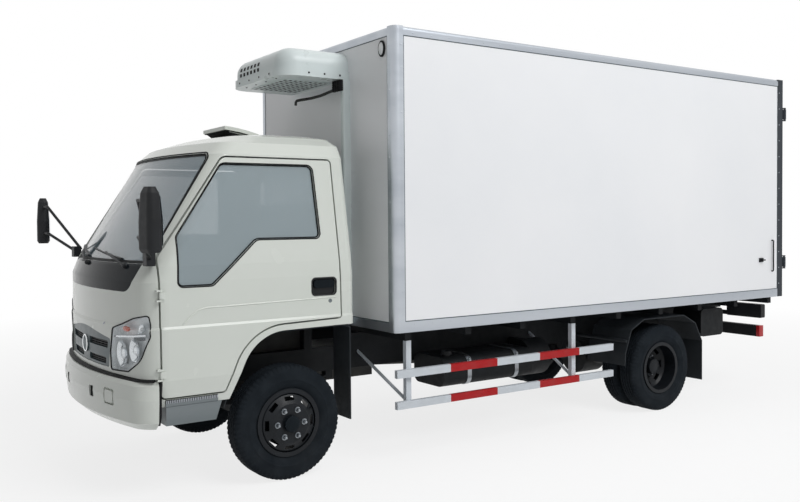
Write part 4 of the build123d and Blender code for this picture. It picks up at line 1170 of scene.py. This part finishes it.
def pale_floor():
    """A pale floor with the truck's shadow, fading to the white of the backdrop away from it."""
    bpy.ops.mesh.primitive_plane_add(size=160.0, location=(0, 0, 0))
    floor = bpy.context.object
    floor.name = "floor"
    surface = Surface("pale_floor")
    pale = surface.mix(surface.noise(3.0), srgb(236, 237, 238), srgb(240, 241, 242))
    surface.set(Base_Color=pale, Roughness=0.9)
    distance = surface.nodes.new("ShaderNodeVectorMath")
    distance.operation = "LENGTH"
    surface.links.new(surface.place, distance.inputs[0])
    white = surface.spread(distance.outputs["Value"], 4.0, 10.0, FLOOR_WHITE, 1.0)
    glow = surface.nodes.new("ShaderNodeEmission")
    blend = surface.nodes.new("ShaderNodeMixShader")
    surface.links.new(surface.math("MULTIPLY", white, surface.shown_rays()), blend.inputs["Fac"])
    surface.links.new(surface.shader.outputs["BSDF"], blend.inputs[1])
    surface.links.new(glow.outputs["Emission"], blend.inputs[2])
    surface.links.new(blend.outputs["Shader"], surface.nodes["Material Output"].inputs["Surface"])
    floor.data.materials.append(surface.material)


def white_world(ambient, front_share):
    """White to the eye and in reflections; as a light it is softer, and dimmer from in front of the cab."""
    world = bpy.data.worlds.new("studio")
    bpy.context.scene.world = world
    world.use_nodes = True
    tree = Nodes(world.node_tree)
    place = tree.nodes.new("ShaderNodeTexCoord").outputs["Generated"]
    dimmed = tree.spread(tree.axes(place)["Y"], -0.9, 0.3, ambient * front_share, ambient)
    background = tree.nodes["Background"].inputs
    tree.feed(background["Strength"], tree.spread(tree.shown_rays(), 0.0, 1.0, dimmed, 1.0))
    tree.feed(background["Color"], (1, 1, 1, 1))


def area_light(name, place, target, size, power):
    """A soft rectangular lamp aimed at a point."""
    light = bpy.data.lights.new(name, "AREA")
    light.shape = "RECTANGLE"
    light.size = size[0]
    light.size_y = size[1]
    light.energy = power
    lamp = bpy.data.objects.new(name, light)
    lamp.location = place
    lamp.rotation_euler = (Vector(target) - Vector(place)).to_track_quat("-Z", "Y").to_euler()
    bpy.context.collection.objects.link(lamp)


# Camera fitted to the photograph, with the image taken as 800 by 502
IMAGE_WIDTH = 800
FOCAL_PIXELS = 859.4
CENTRE_OFFSET_PIXELS = -11.0
CAMERA_PLACE = at(5.504, -2.361, 1.597)
CAMERA_YAW = 55.933
CAMERA_PITCH = -1.434
CAMERA_ROLL = -0.441


def photo_camera():
    """The camera at the photograph's angle."""
    data = bpy.data.cameras.new("photo_camera")
    data.sensor_width = 36.0
    data.lens = data.sensor_width * FOCAL_PIXELS / IMAGE_WIDTH
    data.shift_y = CENTRE_OFFSET_PIXELS / IMAGE_WIDTH
    data.clip_end = 300.0
    camera = bpy.data.objects.new("photo_camera", data)
    place = Matrix.Translation(CAMERA_PLACE)
    for turn, axis in ((CAMERA_YAW, "Z"), (90 + CAMERA_PITCH, "X"), (CAMERA_ROLL, "Z")):
        place = place @ Matrix.Rotation(math.radians(turn), 4, axis)
    camera.matrix_world = place
    bpy.context.collection.objects.link(camera)
    bpy.context.scene.camera = camera


pale_floor()
white_world(0.44, 0.3)
area_light("key", (9.0, 1.0, 9.6), (0, 0.3, 1.2), (7.0, 5.0), 760.0)
area_light("top", (0.5, -0.5, 9.0), (0, -0.5, 0), (6.0, 6.0), 60.0)
photo_camera()
bpy.context.scene.view_settings.view_transform = "Standard"
